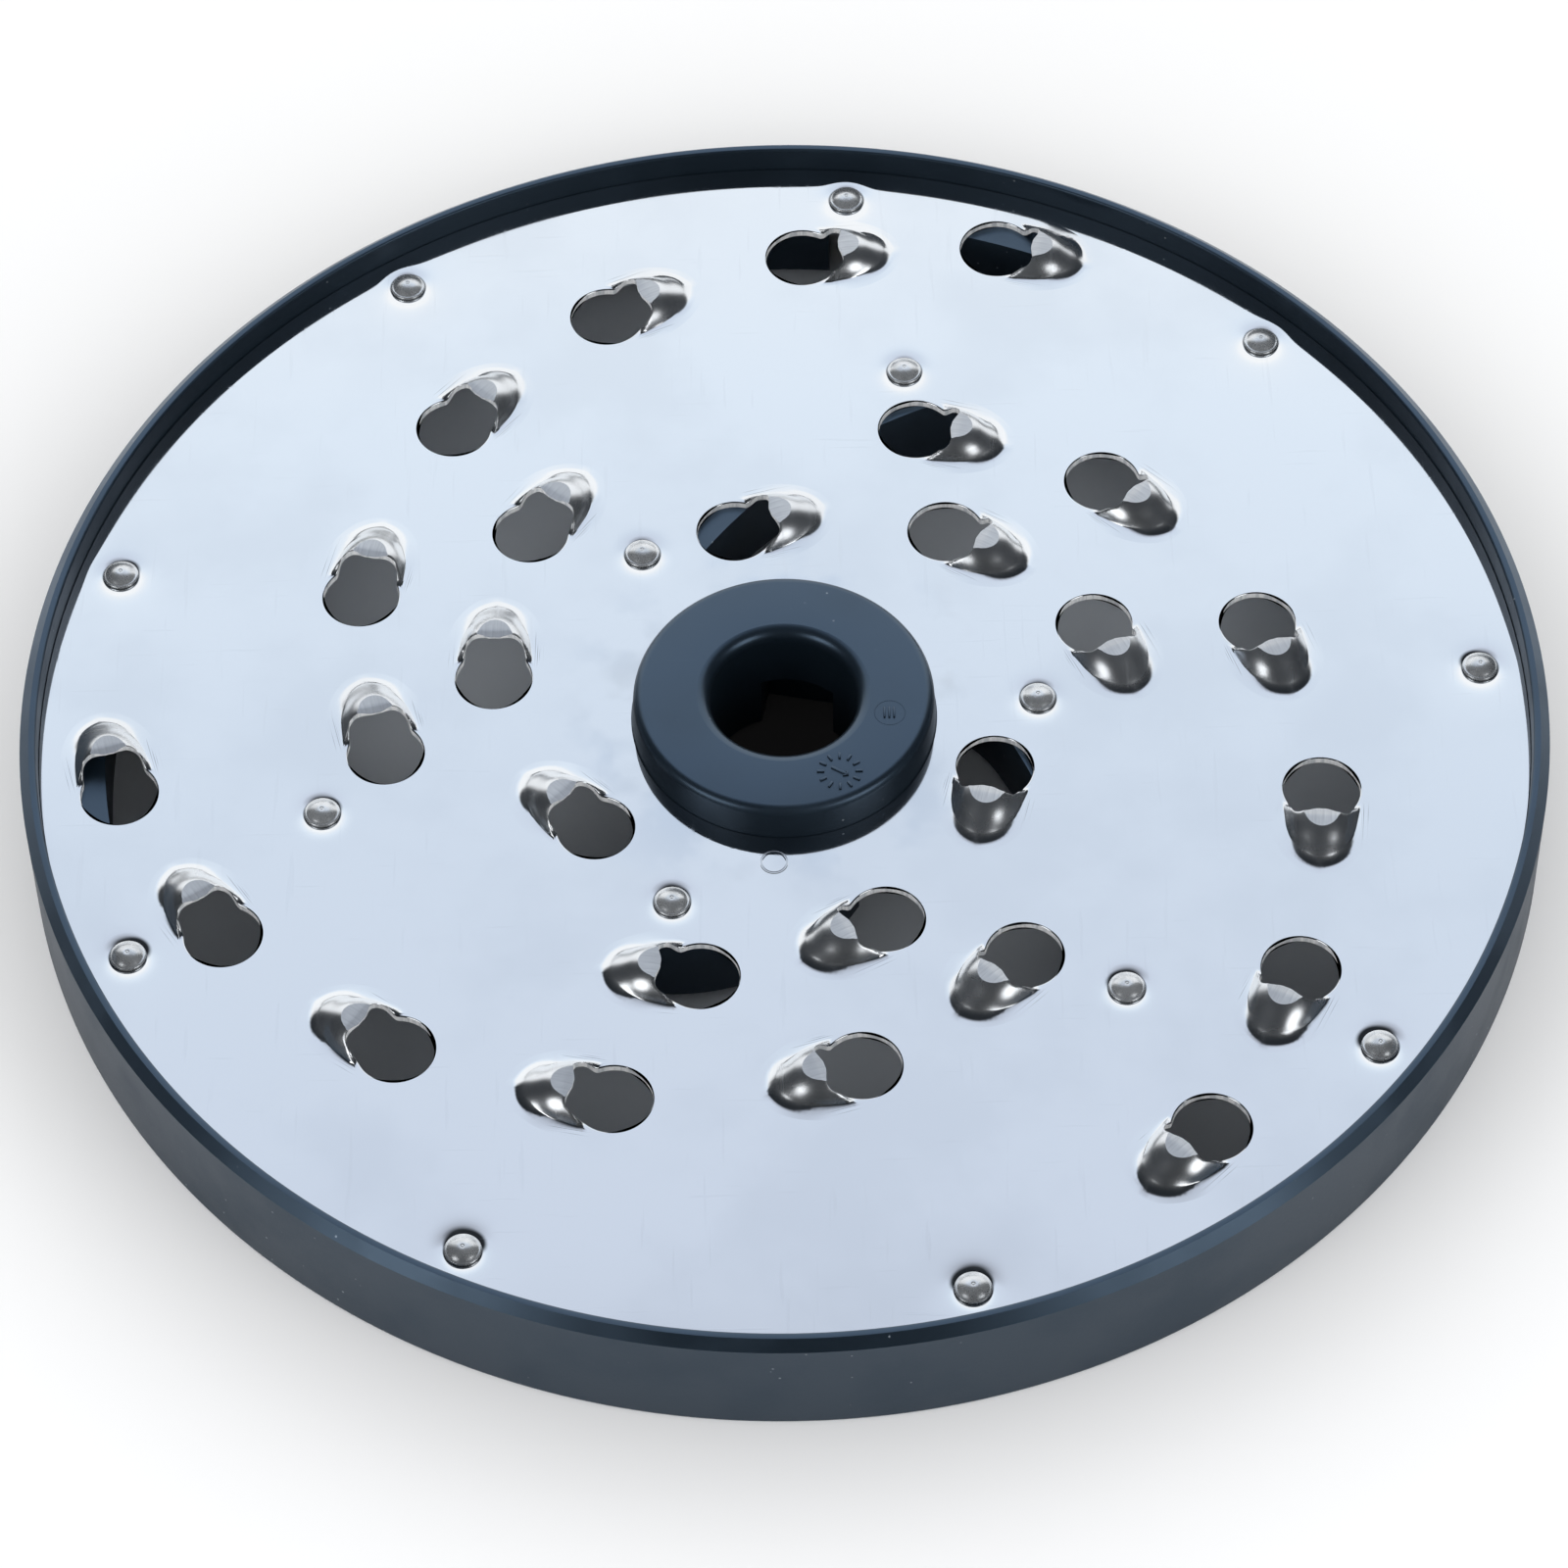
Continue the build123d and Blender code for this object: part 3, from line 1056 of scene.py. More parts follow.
@dataclass
class GratingSheet:
    """Stainless sheet with nine tracks of drawn teeth."""

    levels: Levels
    rivets: RivetLayout
    tooth: Tooth = field(default_factory=Tooth)
    hub_hole: float = 20.6
    tooth_angles: tuple[float, ...] = (99.5, 51.5, 16.9, 67.4, 40.1, 11.2, 107.9, 86.5, 68.3)
    thirds: int = 3
    first_track: float = 31.25
    track_pitch: float = 7.18
    cut_lead: float = 7.0
    pattern_shift: Point = (-1.2, 1.6)
    rivet_hole: float = 1.45
    edge_grind: float = -6.3
    edge_tilt: float = 8.0
    edge_segments: int = 256
    hub_segments: int = 128
    rivet_segments: int = 32
    level_gap: float = 0.01
    crease: float = 38.0

    def tooth_places(self) -> list[Matrix]:
        """Place of each tooth, turned the way that it cuts."""
        places = []
        for track, start in enumerate(self.tooth_angles):
            for third in range(self.thirds):
                angle = start + 360 / self.thirds * third
                x, y = on_circle(self.first_track + self.track_pitch * track, angle)
                centre = Matrix.Translation((x + self.pattern_shift[0], y + self.pattern_shift[1], 0.0))
                places.append(centre @ Matrix.Rotation(math.radians(angle + 90 + self.cut_lead), 4, "Z"))
        return places

    def grind(self, bm: BMesh, place: Vector, facing: Vector) -> None:
        """Grind a flat on the crest of a tooth.

        Args:
            bm: Closed tooth.
            place: Point of the flat.
            facing: Way that the flat faces.
        """
        everything = bm.verts[:] + bm.edges[:] + bm.faces[:]
        bmesh.ops.bisect_plane(bm, geom=everything, dist=WELD_GAP, plane_co=place, plane_no=facing)
        height = {vert: (vert.co - place).dot(facing) for vert in bm.verts}
        for face in bm.faces:
            topped = min(height[vert] for vert in face.verts) > -ON_EDGE
            if topped and face.material_index != SheetZone.CUT.value:
                face.material_index = SheetZone.GROUND.value
        for vert, above in height.items():
            if above > 0:
                vert.co.z -= above / facing.z

    def tooth_form(self) -> Mesh:
        """One finished tooth: drawn, given its thickness, ground, and with its hole's edge broken.

        Returns:
            A mesh that is open along the oval where it joins the flat sheet, above and below.
        """
        bm = bmesh.new()
        bm.from_mesh(self.tooth.patch())
        plan, flat = bm.verts.layers.float_vector["tooth_plan"], bm.verts.layers.int["joins_flat"]
        skin = bm.faces[:]
        made = bmesh.ops.extrude_face_region(bm, geom=skin, use_keep_orig=True)["geom"]
        for vert in verts_in(made):
            lift = 0.0 if vert[flat] else self.tooth.lift(vert[plan].x, vert[plan].y)
            vert.co.z = lift - self.levels.thickness
        shells = set(skin) | set(faces_in(made))
        for face in bm.faces:
            face.smooth = True
            if face not in shells:
                face.material_index = SheetZone.CUT.value
        bmesh.ops.recalc_face_normals(bm, faces=bm.faces[:])
        level = self.levels.ground_top - self.levels.sheet_top
        tilt = math.radians(self.edge_tilt)
        self.grind(bm, Vector((0.0, 0.0, level)), Vector((0.0, 0.0, 1.0)))
        self.grind(bm, Vector((self.edge_grind, 0.0, level)), Vector((math.sin(tilt), 0.0, math.cos(tilt))))
        rim = [face for face in bm.faces if all(vert[flat] for vert in face.verts)]
        bmesh.ops.delete(bm, geom=rim, context="FACES")
        mark_sharp(bm, self.crease)
        return as_mesh(bm, "tooth_form")

    def add_rings(self, bm: BMesh) -> None:
        """Add the walls of the sheet's edge, its hub hole and its rivet holes.

        Args:
            bm: Mesh of the sheet.
        """
        flat = bm.verts.layers.int["joins_flat"]
        centre = (0.0, 0.0)
        circles = [
            (centre, self.levels.sheet_radius, self.edge_segments),
            (centre, self.hub_hole, self.hub_segments),
        ]
        circles += [(place, self.rivet_hole, self.rivet_segments) for place in self.rivets.all_places()]
        for place, radius, segments in circles:
            made = bmesh.ops.create_circle(
                bm, cap_ends=False, radius=radius, segments=segments, matrix=Matrix.Translation((*place, 0.0))
            )
            ring = made["verts"]
            edges = list(dict.fromkeys(edge for vert in ring for edge in vert.link_edges))
            lower = verts_in(bmesh.ops.extrude_edge_only(bm, edges=edges)["geom"])
            bmesh.ops.translate(bm, vec=(0, 0, -self.levels.thickness), verts=lower)
            for vert in ring + lower:
                vert[flat] = 1
            for face in {face for vert in ring for face in vert.link_faces}:
                face.smooth = True

    def fill_flat(self, bm: BMesh, level: float) -> None:
        """Fill the flat between the teeth on one side of the sheet.

        Args:
            bm: Mesh of the sheet.
            level: Height of that side.
        """
        flat = bm.verts.layers.int["joins_flat"]
        outline = [
            edge for edge in bm.edges
            if len(edge.link_faces) == 1
            and all(vert[flat] and abs(vert.co.z - level) < self.level_gap for vert in edge.verts)
        ]
        filled = bmesh.ops.triangle_fill(bm, use_beauty=True, edges=outline, normal=(0, 0, 1))
        for face in faces_in(filled["geom"]):
            face.smooth = False

    def build(self, finishes: list[Material]) -> Object:
        """Make the sheet.

        Args:
            finishes: Materials of its zones, in order.

        Returns:
            The piece.
        """
        form = self.tooth_form()
        bm = bmesh.new()
        bm.verts.layers.float_vector.new("tooth_plan")
        bm.verts.layers.float.new("tooth_zone")
        bm.verts.layers.int.new("joins_flat")
        for place in self.tooth_places():
            before = len(bm.verts)
            bm.from_mesh(form)
            bm.verts.ensure_lookup_table()
            bmesh.ops.transform(bm, matrix=place, verts=bm.verts[before:])
        self.add_rings(bm)
        self.fill_flat(bm, 0.0)
        self.fill_flat(bm, -self.levels.thickness)
        bmesh.ops.recalc_face_normals(bm, faces=bm.faces[:])
        bm.verts.layers.int.remove(bm.verts.layers.int["joins_flat"])
        bmesh.ops.translate(bm, vec=(0, 0, self.levels.sheet_top), verts=bm.verts[:])
        sheet = hand_over(bm, "grating_sheet", finishes)
        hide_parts("grating_plate")
        return sheet


@dataclass
class Carrier:
    """Moulded carrier: a rim with a ledge, three swept channel arms and a bored hub."""

    levels: Levels
    rivets: RivetLayout
    rim_height: float = 17.8
    rim_wall: float = 2.25
    rim_shoulder: float = 1.3
    ledge_width: float = 8.8
    ledge_wall: float = 2.5
    tool_pocket: float = 3.75
    hub_radius: float = 20.5
    hub_draft: float = 4.0
    hub_edge: float = 1.2
    hub_foot: float = 0.6
    flange_radius: float = 24.0
    boss_radius: float = 21.0
    bore_lip: float = 1.7
    slot_size: tuple[float, float] = (27.0, 10.0)
    slot_top: float = 9.0
    slot_angle: float = 78.0
    arm_width: float = 13.0
    arm_wall: float = 2.5
    arm_foot: float = 2.0
    arm_root_radius: float = 22.0
    arm_root_turn: float = 60.0
    arm_end_lag: float = 80.0
    rim_lip: float = 0.35
    foot_edge: float = 0.5
    cut_margin: float = 1.0
    rim_steps: int = 320
    hub_steps: int = 160
    pocket_steps: int = 40
    arm_steps: tuple[int, int, int] = (40, 14, 20)
    crease: float = 35.0

    def rim(self) -> BMesh:
        """Rim and ledge, turned as one."""
        outer = self.levels.rim_radius
        inner = outer - self.rim_wall
        shelf = self.levels.sheet_underside
        ledge, under = inner - self.ledge_width, shelf - self.levels.web
        channel = ledge + self.ledge_wall
        profile = [
            (outer, 0.0), (outer, self.rim_height), (inner, self.rim_height), (inner, shelf), (ledge, shelf),
            (ledge, self.arm_foot), (channel, self.arm_foot), (channel, under), (inner, under), (inner, 0.0),
        ]
        bm = turned(profile, self.rim_steps)
        round_turned_edge(bm, (outer, self.rim_height), self.rim_shoulder, 1)
        round_turned_edge(bm, (inner, self.rim_height), self.rim_lip, 3)
        round_turned_edge(bm, (outer, 0.0), self.foot_edge, 3)
        cutter = bmesh.new()
        depth = under - self.arm_foot + self.cut_margin
        for x, y in self.rivets.places(RivetRow.RIM):
            bmesh.ops.create_cone(
                cutter, cap_ends=True, segments=self.pocket_steps,
                radius1=self.tool_pocket, radius2=self.tool_pocket, depth=depth,
                matrix=Matrix.Translation((x, y, under - depth / 2)),
            )
        return cut_away(bm, cutter)

    def hub(self) -> BMesh:
        """Hub, turned with its bore, flange and boss."""
        top, shelf, bore = self.levels.hub_top, self.levels.sheet_underside, self.levels.bore_radius
        sheet, under = self.levels.sheet_top, shelf - self.levels.web
        top_radius = self.hub_radius - math.tan(math.radians(self.hub_draft)) * (top - sheet)
        profile = [
            (bore, self.hub_foot), (self.boss_radius, self.hub_foot), (self.boss_radius, under),
            (self.flange_radius, under), (self.flange_radius, shelf), (self.hub_radius, shelf),
            (self.hub_radius, sheet), (top_radius, top), (bore, top),
        ]
        bm = turned(profile, self.hub_steps)
        round_turned_edge(bm, (top_radius, top), self.hub_edge, 6)
        round_turned_edge(bm, (bore, top), self.bore_lip, 5)
        round_turned_edge(bm, (self.boss_radius, self.hub_foot), self.foot_edge, 3)
        return bm

    def slotted(self, bm: BMesh) -> BMesh:
        """Cut the drive slot across the hub's foot.

        Args:
            bm: The hub, which is freed.

        Returns:
            The hub with its slot.
        """
        height = self.slot_top - self.hub_foot + self.cut_margin
        cutter = bmesh.new()
        place = Matrix.Translation((0, 0, self.slot_top - height / 2))
        turn = Matrix.Rotation(math.radians(self.slot_angle), 4, "Z")
        size = Matrix.Diagonal((*self.slot_size, height, 1.0))
        bmesh.ops.create_cube(cutter, size=1.0, matrix=place @ turn @ size)
        return cut_away(bm, cutter)

    def arm_arc(self) -> tuple[Vector, float]:
        """Centre of the arm's long arc, and the angle that it sweeps, in radians."""
        lay = self.rivets
        first = Vector(on_circle(lay.inner_radius, lay.arm_angle))
        second = Vector(on_circle(lay.middle_radius, lay.arm_angle - lay.middle_lag))
        third = Vector(on_circle(lay.rim_radius, lay.arm_angle - self.arm_end_lag))
        one, two = second - first, third - first
        twice = 2 * (one.x * two.y - one.y * two.x)
        lift = one.length_squared * two.y - two.length_squared * one.y
        side = two.length_squared * one.x - one.length_squared * two.x
        centre = first + Vector((lift, side)) / twice
        return centre, (third - centre).angle_signed(first - centre)

    def arm(self) -> BMesh:
        """One arm: an upturned channel swept out to the rim and curled into the hub.

        Returns:
            The arm's mesh.
        """
        shelf, foot = self.levels.sheet_underside, self.arm_foot
        half, hollow = self.arm_width / 2, self.arm_width / 2 - self.arm_wall
        under = shelf - self.levels.web
        start = Vector(on_circle(self.rivets.inner_radius, self.rivets.arm_angle))
        centre, sweep = self.arm_arc()
        out = (start - centre).normalized()
        section = [
            (-half, foot), (-half, shelf), (0.0, shelf), (half, shelf), (half, foot),
            (hollow, foot), (hollow, under), (0.0, under), (-hollow, under), (-hollow, foot),
        ]
        bm = bmesh.new()
        loop = [bm.verts.new((*(start + out * across), height)) for across, height in section]
        edges = [bm.edges.new(pair) for pair in zip(loop, loop[1:] + loop[:1])]
        root_centre = start - out * self.arm_root_radius
        curl = math.copysign(math.radians(self.arm_root_turn), -sweep)
        long_steps, root_steps, tip_steps = self.arm_steps
        sweep_round(bm, loop + edges, centre, sweep, long_steps)
        sweep_round(bm, loop + edges, root_centre, curl, root_steps)
        tip = centre + Matrix.Rotation(sweep, 2) @ (start - centre)
        aside = Matrix.Rotation(sweep, 2) @ out
        side = [bm.verts.new((*(tip + aside * across), height)) for across, height in section[2:8]]
        rims = [bm.edges.new(pair) for pair in zip(side, side[1:])]
        sweep_round(bm, side + rims, tip, math.copysign(math.pi, sweep), tip_steps)
        bmesh.ops.remove_doubles(bm, verts=bm.verts[:], dist=ON_EDGE)
        bmesh.ops.recalc_face_normals(bm, faces=bm.faces[:])
        return bm

    def build(self, plastic: Material) -> list[Object]:
        """Make the carrier's visible parts.

        Args:
            plastic: Material of the moulding.

        Returns:
            The pieces.
        """
        pieces = []
        arms = bmesh.new()
        for index in range(self.rivets.arm_count):
            arm = self.arm()
            turn = Matrix.Rotation(math.tau / self.rivets.arm_count * index, 4, "Z")
            bmesh.ops.transform(arm, matrix=turn, verts=arm.verts[:])
            arms.from_mesh(as_mesh(arm, "arm"))
        for name, bm in (
            ("carrier_rim", self.rim()), ("carrier_hub", self.slotted(self.hub())), ("carrier_arms", arms),
        ):
            mark_sharp(bm, self.crease)
            piece = hand_over(bm, name, [plastic])
            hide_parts("carrier")
            pieces.append(piece)
        return pieces


@dataclass
class MouldMarks:
    """Low marks of the mould on the hub: a dial of ticks with a pointer, and a plain ring with bars."""

    levels: Levels
    dial_at: Point = (7.26, -13.59)
    dial_radius: float = 2.55
    dial_ticks: int = 12
    tick: Point = (1.0, 0.34)
    pointer: Point = (2.6, 0.36)
    pointer_turn: float = -32.0
    ring_at: Point = (14.13, -3.85)
    ring_radius: float = 2.05
    ring_line: float = 0.07
    bar: Point = (0.26, 1.75)
    bar_places: tuple[float, ...] = (-0.72, -0.08, 0.56)
    relief: float = 0.2
    ring_rise: float = 0.04
    ring_sink: float = 0.02
    ring_steps: int = 64
    bar_edge: float = 0.06
    barb: Point = (0.8, 0.2)
    barb_back: float = 0.28
    barb_aside: float = 0.2
    barb_turn: float = 0.7
    crease: float = 50.0

    def bar_on(self, bm: BMesh, place: Matrix, size: Point) -> None:
        """Add one low bar with its edges rounded.

        Args:
            bm: Mesh of the marks.
            place: Place and turn on the hub's top.
            size: Length and width.
        """
        shape = place @ Matrix.Diagonal((*size, 2 * self.relief, 1.0))
        made = bmesh.ops.create_cube(bm, size=1.0, matrix=shape)["verts"]
        edges = dict.fromkeys(edge for vert in made for edge in vert.link_edges)
        round_edges(bm, edges, self.bar_edge, 2)

    def build(self, plastic: Material) -> Object:
        """Make the marks.

        Args:
            plastic: Material of the moulding.

        Returns:
            The piece.
        """
        bm = bmesh.new()
        line, rise, sink = self.ring_line, self.ring_rise, self.ring_sink
        section = ((-line, -sink), (-line / 2, rise), (line / 2, rise), (line, -sink))
        corners = [bm.verts.new((self.ring_radius + off, 0.0, height)) for off, height in section]
        edges = [bm.edges.new(pair) for pair in zip(corners, corners[1:])]
        sweep_round(bm, corners + edges, (0.0, 0.0), math.tau, self.ring_steps, merge=True)
        ring = Matrix.Translation((*self.ring_at, 0.0))
        bmesh.ops.transform(bm, matrix=ring, verts=bm.verts[:])
        for off in self.bar_places:
            self.bar_on(bm, ring @ Matrix.Translation((off, 0.0, 0.0)), self.bar)
        dial = Matrix.Translation((*self.dial_at, 0.0))
        for step in range(self.dial_ticks):
            turn = Matrix.Rotation(math.tau / self.dial_ticks * step, 4, "Z")
            self.bar_on(bm, dial @ turn @ Matrix.Translation((self.dial_radius, 0.0, 0.0)), self.tick)
        aim = dial @ Matrix.Rotation(math.radians(self.pointer_turn), 4, "Z")
        self.bar_on(bm, aim, self.pointer)
        for side in (-1.0, 1.0):
            barb = Matrix.Translation((self.pointer[0] / 2 - self.barb_back, self.barb_aside * side, 0.0))
            self.bar_on(bm, aim @ barb @ Matrix.Rotation(-self.barb_turn * side, 4, "Z"), self.barb)
        bmesh.ops.recalc_face_normals(bm, faces=bm.faces[:])
        bmesh.ops.translate(bm, vec=(0, 0, self.levels.hub_top), verts=bm.verts[:])
        mark_sharp(bm, self.crease)
        return hand_over(bm, "hub_marks", [plastic])


@dataclass
class Rivets:
    """Domed rivets with a shallow collar and a pip on the crown."""

    levels: Levels
    layout: RivetLayout
    head_radius: float = 2.4
    head_height: float = 1.15
    collar_radius: float = 2.02
    shank_radius: float = 1.4
    tail_radius: float = 2.3
    tail_height: float = 0.8
    tail_edge: Point = (0.15, 0.3)
    dome_foot: float = 0.40
    crown_rings: tuple[float, ...] = (0.34, 0.62, 0.9, 1.16, 1.4, 1.62, 1.82)
    pip: tuple[Point, ...] = ((0.0, 0.04), (0.12, 0.045), (0.2, 0.07), (0.27, 0.03))
    collar: tuple[Point, ...] = (
        (0.31, 0.365), (0.20, 0.36), (0.08, 0.31), (0.01, 0.22), (0.0, 0.1), (0.02, 0.0),
    )
    segments: int = 48
    crease: float = 40.0

    def profile(self) -> list[Point]:
        """Section of a rivet, from the crown down to the tail's centre."""
        top, foot = self.levels.sheet_top, self.levels.sheet_underside - self.levels.web
        rise, tail = self.head_height, foot - self.tail_height
        upper_edge, lower_edge = self.tail_edge
        high = rise - self.dome_foot
        dome = (self.collar_radius**2 + high**2) / (2 * high)
        pip = [(radius, top + rise - sink) for radius, sink in self.pip]
        crown = [
            (radius, top + rise - dome + math.sqrt(dome**2 - radius**2))
            for radius in (*self.crown_rings, self.collar_radius)
        ]
        collar = [(self.head_radius - inset, top + height) for inset, height in self.collar]
        below = [
            (self.shank_radius, top), (self.shank_radius, foot), (self.tail_radius - upper_edge, foot),
            (self.tail_radius, foot - upper_edge), (self.tail_radius, tail + lower_edge),
            (self.tail_radius - lower_edge, tail), (0.0, tail),
        ]
        return pip + crown + collar + below

    def build(self, steel: Material) -> list[Object]:
        """Make the rows of rivets.

        Args:
            steel: Material of the rivets.

        Returns:
            One piece for each row.
        """
        one = turned(self.profile(), self.segments, closed=False)
        pattern = as_mesh(one, "rivet")
        pieces = []
        for row in RivetRow:
            name, node = row.value
            bm = bmesh.new()
            for x, y in self.layout.places(row):
                before = len(bm.verts)
                bm.from_mesh(pattern)
                bm.verts.ensure_lookup_table()
                bmesh.ops.translate(bm, vec=(x, y, 0), verts=bm.verts[before:])
            mark_sharp(bm, self.crease)
            piece = hand_over(bm, name, [steel])
            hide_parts(node)
            pieces.append(piece)
        return pieces


@dataclass
class Studio:
    """Pale floor, white surroundings, two soft lamps overhead and a dome that shiny surfaces mirror."""

    aim: Triple = (-0.18, -12.42, 14.9)
    lens: float = 139.8
    sensor: float = 36.0
    near_clip: float = 50.0
    elevation: float = 52.678
    distance: float = 811.6
    roll: float = -1.0247
    lamp_place: Triple = (523.0, -455.0, 400.0)
    lamp_size: float = 420.0
    lamp_power: float = 0.7
    ambient: float = 1.55
    ambient_top: float = 0.34
    ambient_fade: Point = (0.55, 0.92)
    floor_size: float = 3000.0
    floor_drop: float = 0.2
    floor_pale: Colour = (0.955, 0.96, 0.965)
    floor_dull: Colour = (0.935, 0.94, 0.95)
    floor_cloud: Mottle = Mottle(3.0, 2.0, 0.3, 0.7)
    floor_gloss: float = 0.9
    # Painted shade on the floor under the disc, paler towards the back, and darkest under the hub.
    shade_edge: float = 1.03
    shade_radius: float = 94.0
    shade_grey: Colour = (0.60, 0.635, 0.68)
    shade_back: Colour = (0.85, 0.89, 0.94)
    shade_turn: Point = (-45.0, 25.0)
    hub_shade_radius: float = 21.5
    hub_shade_grey: Colour = (0.045, 0.044, 0.045)
    dome_radius: float = 1000.0
    dome_facets: tuple[int, int] = (96, 48)
    window_spread: float = 0.8
    window_edge: float = 0.20
    front_edge: Point = (0.30, 0.75)
    dome_sky: tuple[tuple[float, Colour], ...] = (
        (0.0, (1.0, 1.0, 1.0)), (0.60, (1.0, 1.0, 1.0)), (0.73, (0.80, 0.875, 0.965)),
        (0.795, (0.70, 0.775, 0.88)), (0.88, (0.65, 0.71, 0.82)), (0.935, (0.42, 0.45, 0.52)),
        (0.98, (0.03, 0.033, 0.037)),
    )
    dome_side: Colour = (0.018, 0.021, 0.025)
    dome_front: Colour = (0.018, 0.020, 0.022)

    def camera(self) -> None:
        """Place the camera at the photograph's angle."""
        tilt, roll = math.radians(self.elevation), math.radians(self.roll)
        back = Vector((0.0, -math.cos(tilt), math.sin(tilt)))
        level, rise = Vector((1.0, 0.0, 0.0)), Vector((0.0, math.sin(tilt), math.cos(tilt)))
        right = level * math.cos(roll) + rise * math.sin(roll)
        up = rise * math.cos(roll) - level * math.sin(roll)
        data = bpy.data.cameras.new("camera")
        data.lens = self.lens
        data.sensor_width = self.sensor
        data.clip_start = self.near_clip * MM
        camera = bpy.data.objects.new("camera", data)
        place = Matrix((right, up, back)).transposed().to_4x4()
        place.translation = (Vector(self.aim) + back * self.distance) * MM
        camera.matrix_world = place
        bpy.context.scene.collection.objects.link(camera)
        bpy.context.scene.camera = camera

    def lamps(self) -> None:
        """Hang the two soft lamps, left and right of the disc."""
        for side in (-1.0, 1.0):
            data = bpy.data.lights.new("lamp", "AREA")
            data.shape = "DISK"
            data.size = self.lamp_size * MM
            data.energy = self.lamp_power
            lamp = bpy.data.objects.new("lamp", data)
            place = Vector((self.lamp_place[0] * side, *self.lamp_place[1:])) * MM
            lamp.matrix_world = Matrix.Translation(place) @ place.to_track_quat("Z", "Y").to_matrix().to_4x4()
            lamp.visible_camera = False
            bpy.context.scene.collection.objects.link(lamp)

    def surroundings(self) -> None:
        """Make the world white where it is seen and mirrored, and a light that is dim overhead."""
        world = bpy.data.worlds.new("studio")
        bpy.context.scene.world = world
        world.use_nodes = True
        tree = world.node_tree
        background = tree.nodes["Background"]
        background.inputs["Color"].default_value = (1.0, 1.0, 1.0, 1.0)
        path = tree.nodes.new("ShaderNodeLightPath")
        seen = path.outputs["Is Camera Ray"]
        for name in ("Is Glossy Ray", "Is Transmission Ray"):
            both = tree.nodes.new("ShaderNodeMath")
            both.operation = "MAXIMUM"
            tree.links.new(seen, both.inputs[0])
            tree.links.new(path.outputs[name], both.inputs[1])
            seen = both.outputs[0]
        way = tree.nodes.new("ShaderNodeTexCoord").outputs["Generated"]
        parts = tree.nodes.new("ShaderNodeSeparateXYZ")
        tree.links.new(way, parts.inputs[0])
        light = tree.nodes.new("ShaderNodeMapRange")
        light.interpolation_type = "SMOOTHSTEP"
        fade_start, fade_end = self.ambient_fade
        for name, value in (
            ("From Min", fade_start), ("From Max", fade_end),
            ("To Min", self.ambient), ("To Max", self.ambient_top),
        ):
            light.inputs[name].default_value = value
        tree.links.new(parts.outputs["Z"], light.inputs["Value"])
        strength = tree.nodes.new("ShaderNodeMapRange")
        tree.links.new(light.outputs["Result"], strength.inputs["To Min"])
        tree.links.new(seen, strength.inputs["Value"])
        tree.links.new(strength.outputs["Result"], background.inputs["Strength"])

    def floor(self) -> None:
        """Lay the pale floor, which keeps the disc's shadow, with painted shade under the disc, paler towards
        the back, and painted shade darkest under the hub.
        """
        bm = bmesh.new()
        bmesh.ops.create_grid(bm, x_segments=1, y_segments=1, size=self.floor_size)
        bmesh.ops.translate(bm, vec=(0, 0, -self.floor_drop), verts=bm.verts[:])
        bmesh.ops.scale(bm, vec=(MM, MM, MM), verts=bm.verts[:])
        mesh = as_mesh(bm, "floor")
        bench = NodeBench("pale_floor")
        base = bench.blend(bench.mottle(self.floor_cloud), self.floor_pale, self.floor_dull)
        reach = bench.add("ShaderNodeVectorMath", {0: bench.place}, operation="LENGTH").outputs["Value"]
        depth = bench.add("ShaderNodeSeparateXYZ", {"Vector": bench.place}).outputs["Y"]
        # Painted shade: greyer under the disc and lighter towards the back, then near black under the hub.
        front, back = (place * MM for place in self.shade_turn)
        shade = bench.blend(bench.fit(depth, front, back, 0.0, 1.0), self.shade_grey, self.shade_back)
        for radius, grey in ((self.shade_radius, shade), (self.hub_shade_radius, self.hub_shade_grey)):
            under = bench.fit(reach, radius * MM, radius * self.shade_edge * MM, 1.0, 0.0)
            base = bench.blend(under, base, grey)
        pale = bench.finish(Base_Color=base, Roughness=self.floor_gloss, Specular_IOR_Level=0.0)
        mesh.materials.append(pale)
        floor = bpy.data.objects.new("floor", mesh)
        bpy.context.scene.collection.objects.link(floor)

    def dome(self) -> None:
        """Hang the dome: a pale window behind the disc, and dark on the other sides."""
        bm = bmesh.new()
        round_facets, high_facets = self.dome_facets
        bmesh.ops.create_uvsphere(
            bm, u_segments=round_facets, v_segments=high_facets, radius=self.dome_radius * MM
        )
        mesh = as_mesh(bm, "dome")
        bench = NodeBench("dome")
        way = bench.add("ShaderNodeVectorMath", {0: bench.place}, operation="NORMALIZE").outputs["Vector"]
        parts = bench.add("ShaderNodeSeparateXYZ", {"Vector": way})
        x, y, z = (parts.outputs[axis] for axis in "XYZ")
        wide = bench.math("MULTIPLY", bench.math("ABSOLUTE", x), self.window_spread)
        window = bench.fit(bench.math("SUBTRACT", y, wide), 0.0, self.window_edge, 0.0, 1.0)
        ahead = bench.fit(bench.math("MULTIPLY", y, -1.0), *self.front_edge, 0.0, 1.0)
        dark = bench.blend(ahead, self.dome_side, self.dome_front)
        glow = bench.blend(window, dark, bench.ramp(z, self.dome_sky))
        mesh.materials.append(bench.finish(
            Base_Color=(0.0, 0.0, 0.0), Specular_IOR_Level=0.0, Emission_Color=glow, Emission_Strength=1.0,
        ))
        dome = bpy.data.objects.new("dome", mesh)
        bpy.context.scene.collection.objects.link(dome)
        dome.visible_camera = False
        dome.visible_diffuse = False
        dome.visible_shadow = False

    def build(self) -> None:
        """Set up the studio."""
        view = bpy.context.scene.view_settings
        view.view_transform = "Standard"
        self.camera()
        self.lamps()
        self.surroundings()
        self.floor()
        self.dome()


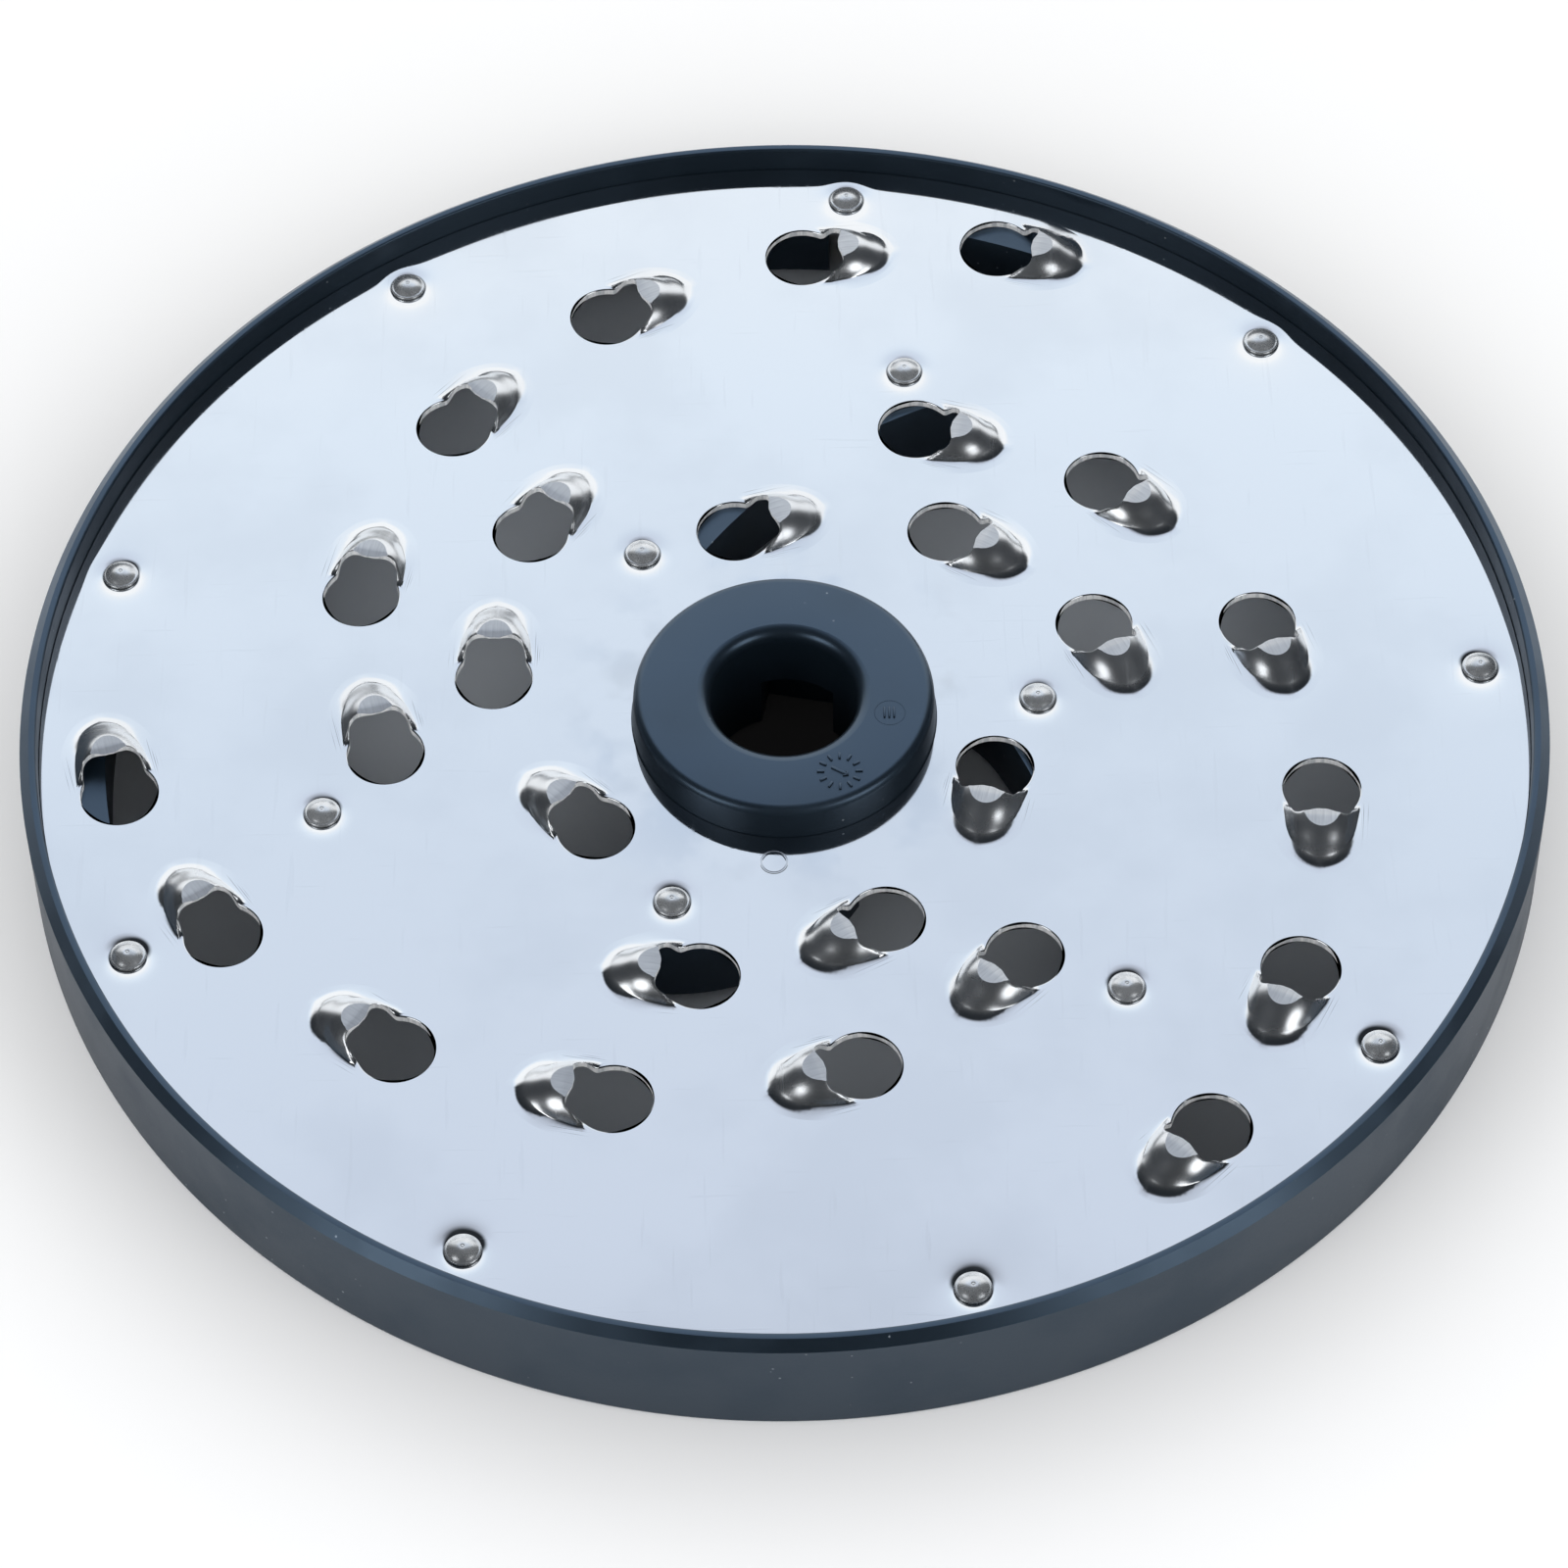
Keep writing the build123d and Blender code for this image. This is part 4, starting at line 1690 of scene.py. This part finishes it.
def main() -> None:
    """Build the disc's pieces in order, then the studio."""
    logging.basicConfig(level=logging.INFO, format="%(name)s: %(message)s")
    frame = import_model()
    levels = Levels.read(frame["record"])
    layout = RivetLayout()
    finishes = [PolishedSheet().material(layout), GroundSteel().material(), CutSteel().material()]
    GratingSheet(levels, layout).build(finishes)
    plastic = SatinPlastic().material()
    Carrier(levels, layout).build(plastic)
    MouldMarks(levels).build(plastic)
    Rivets(levels, layout).build(RivetSteel().material())
    Studio().build()


if __name__ == "__main__":
    main()
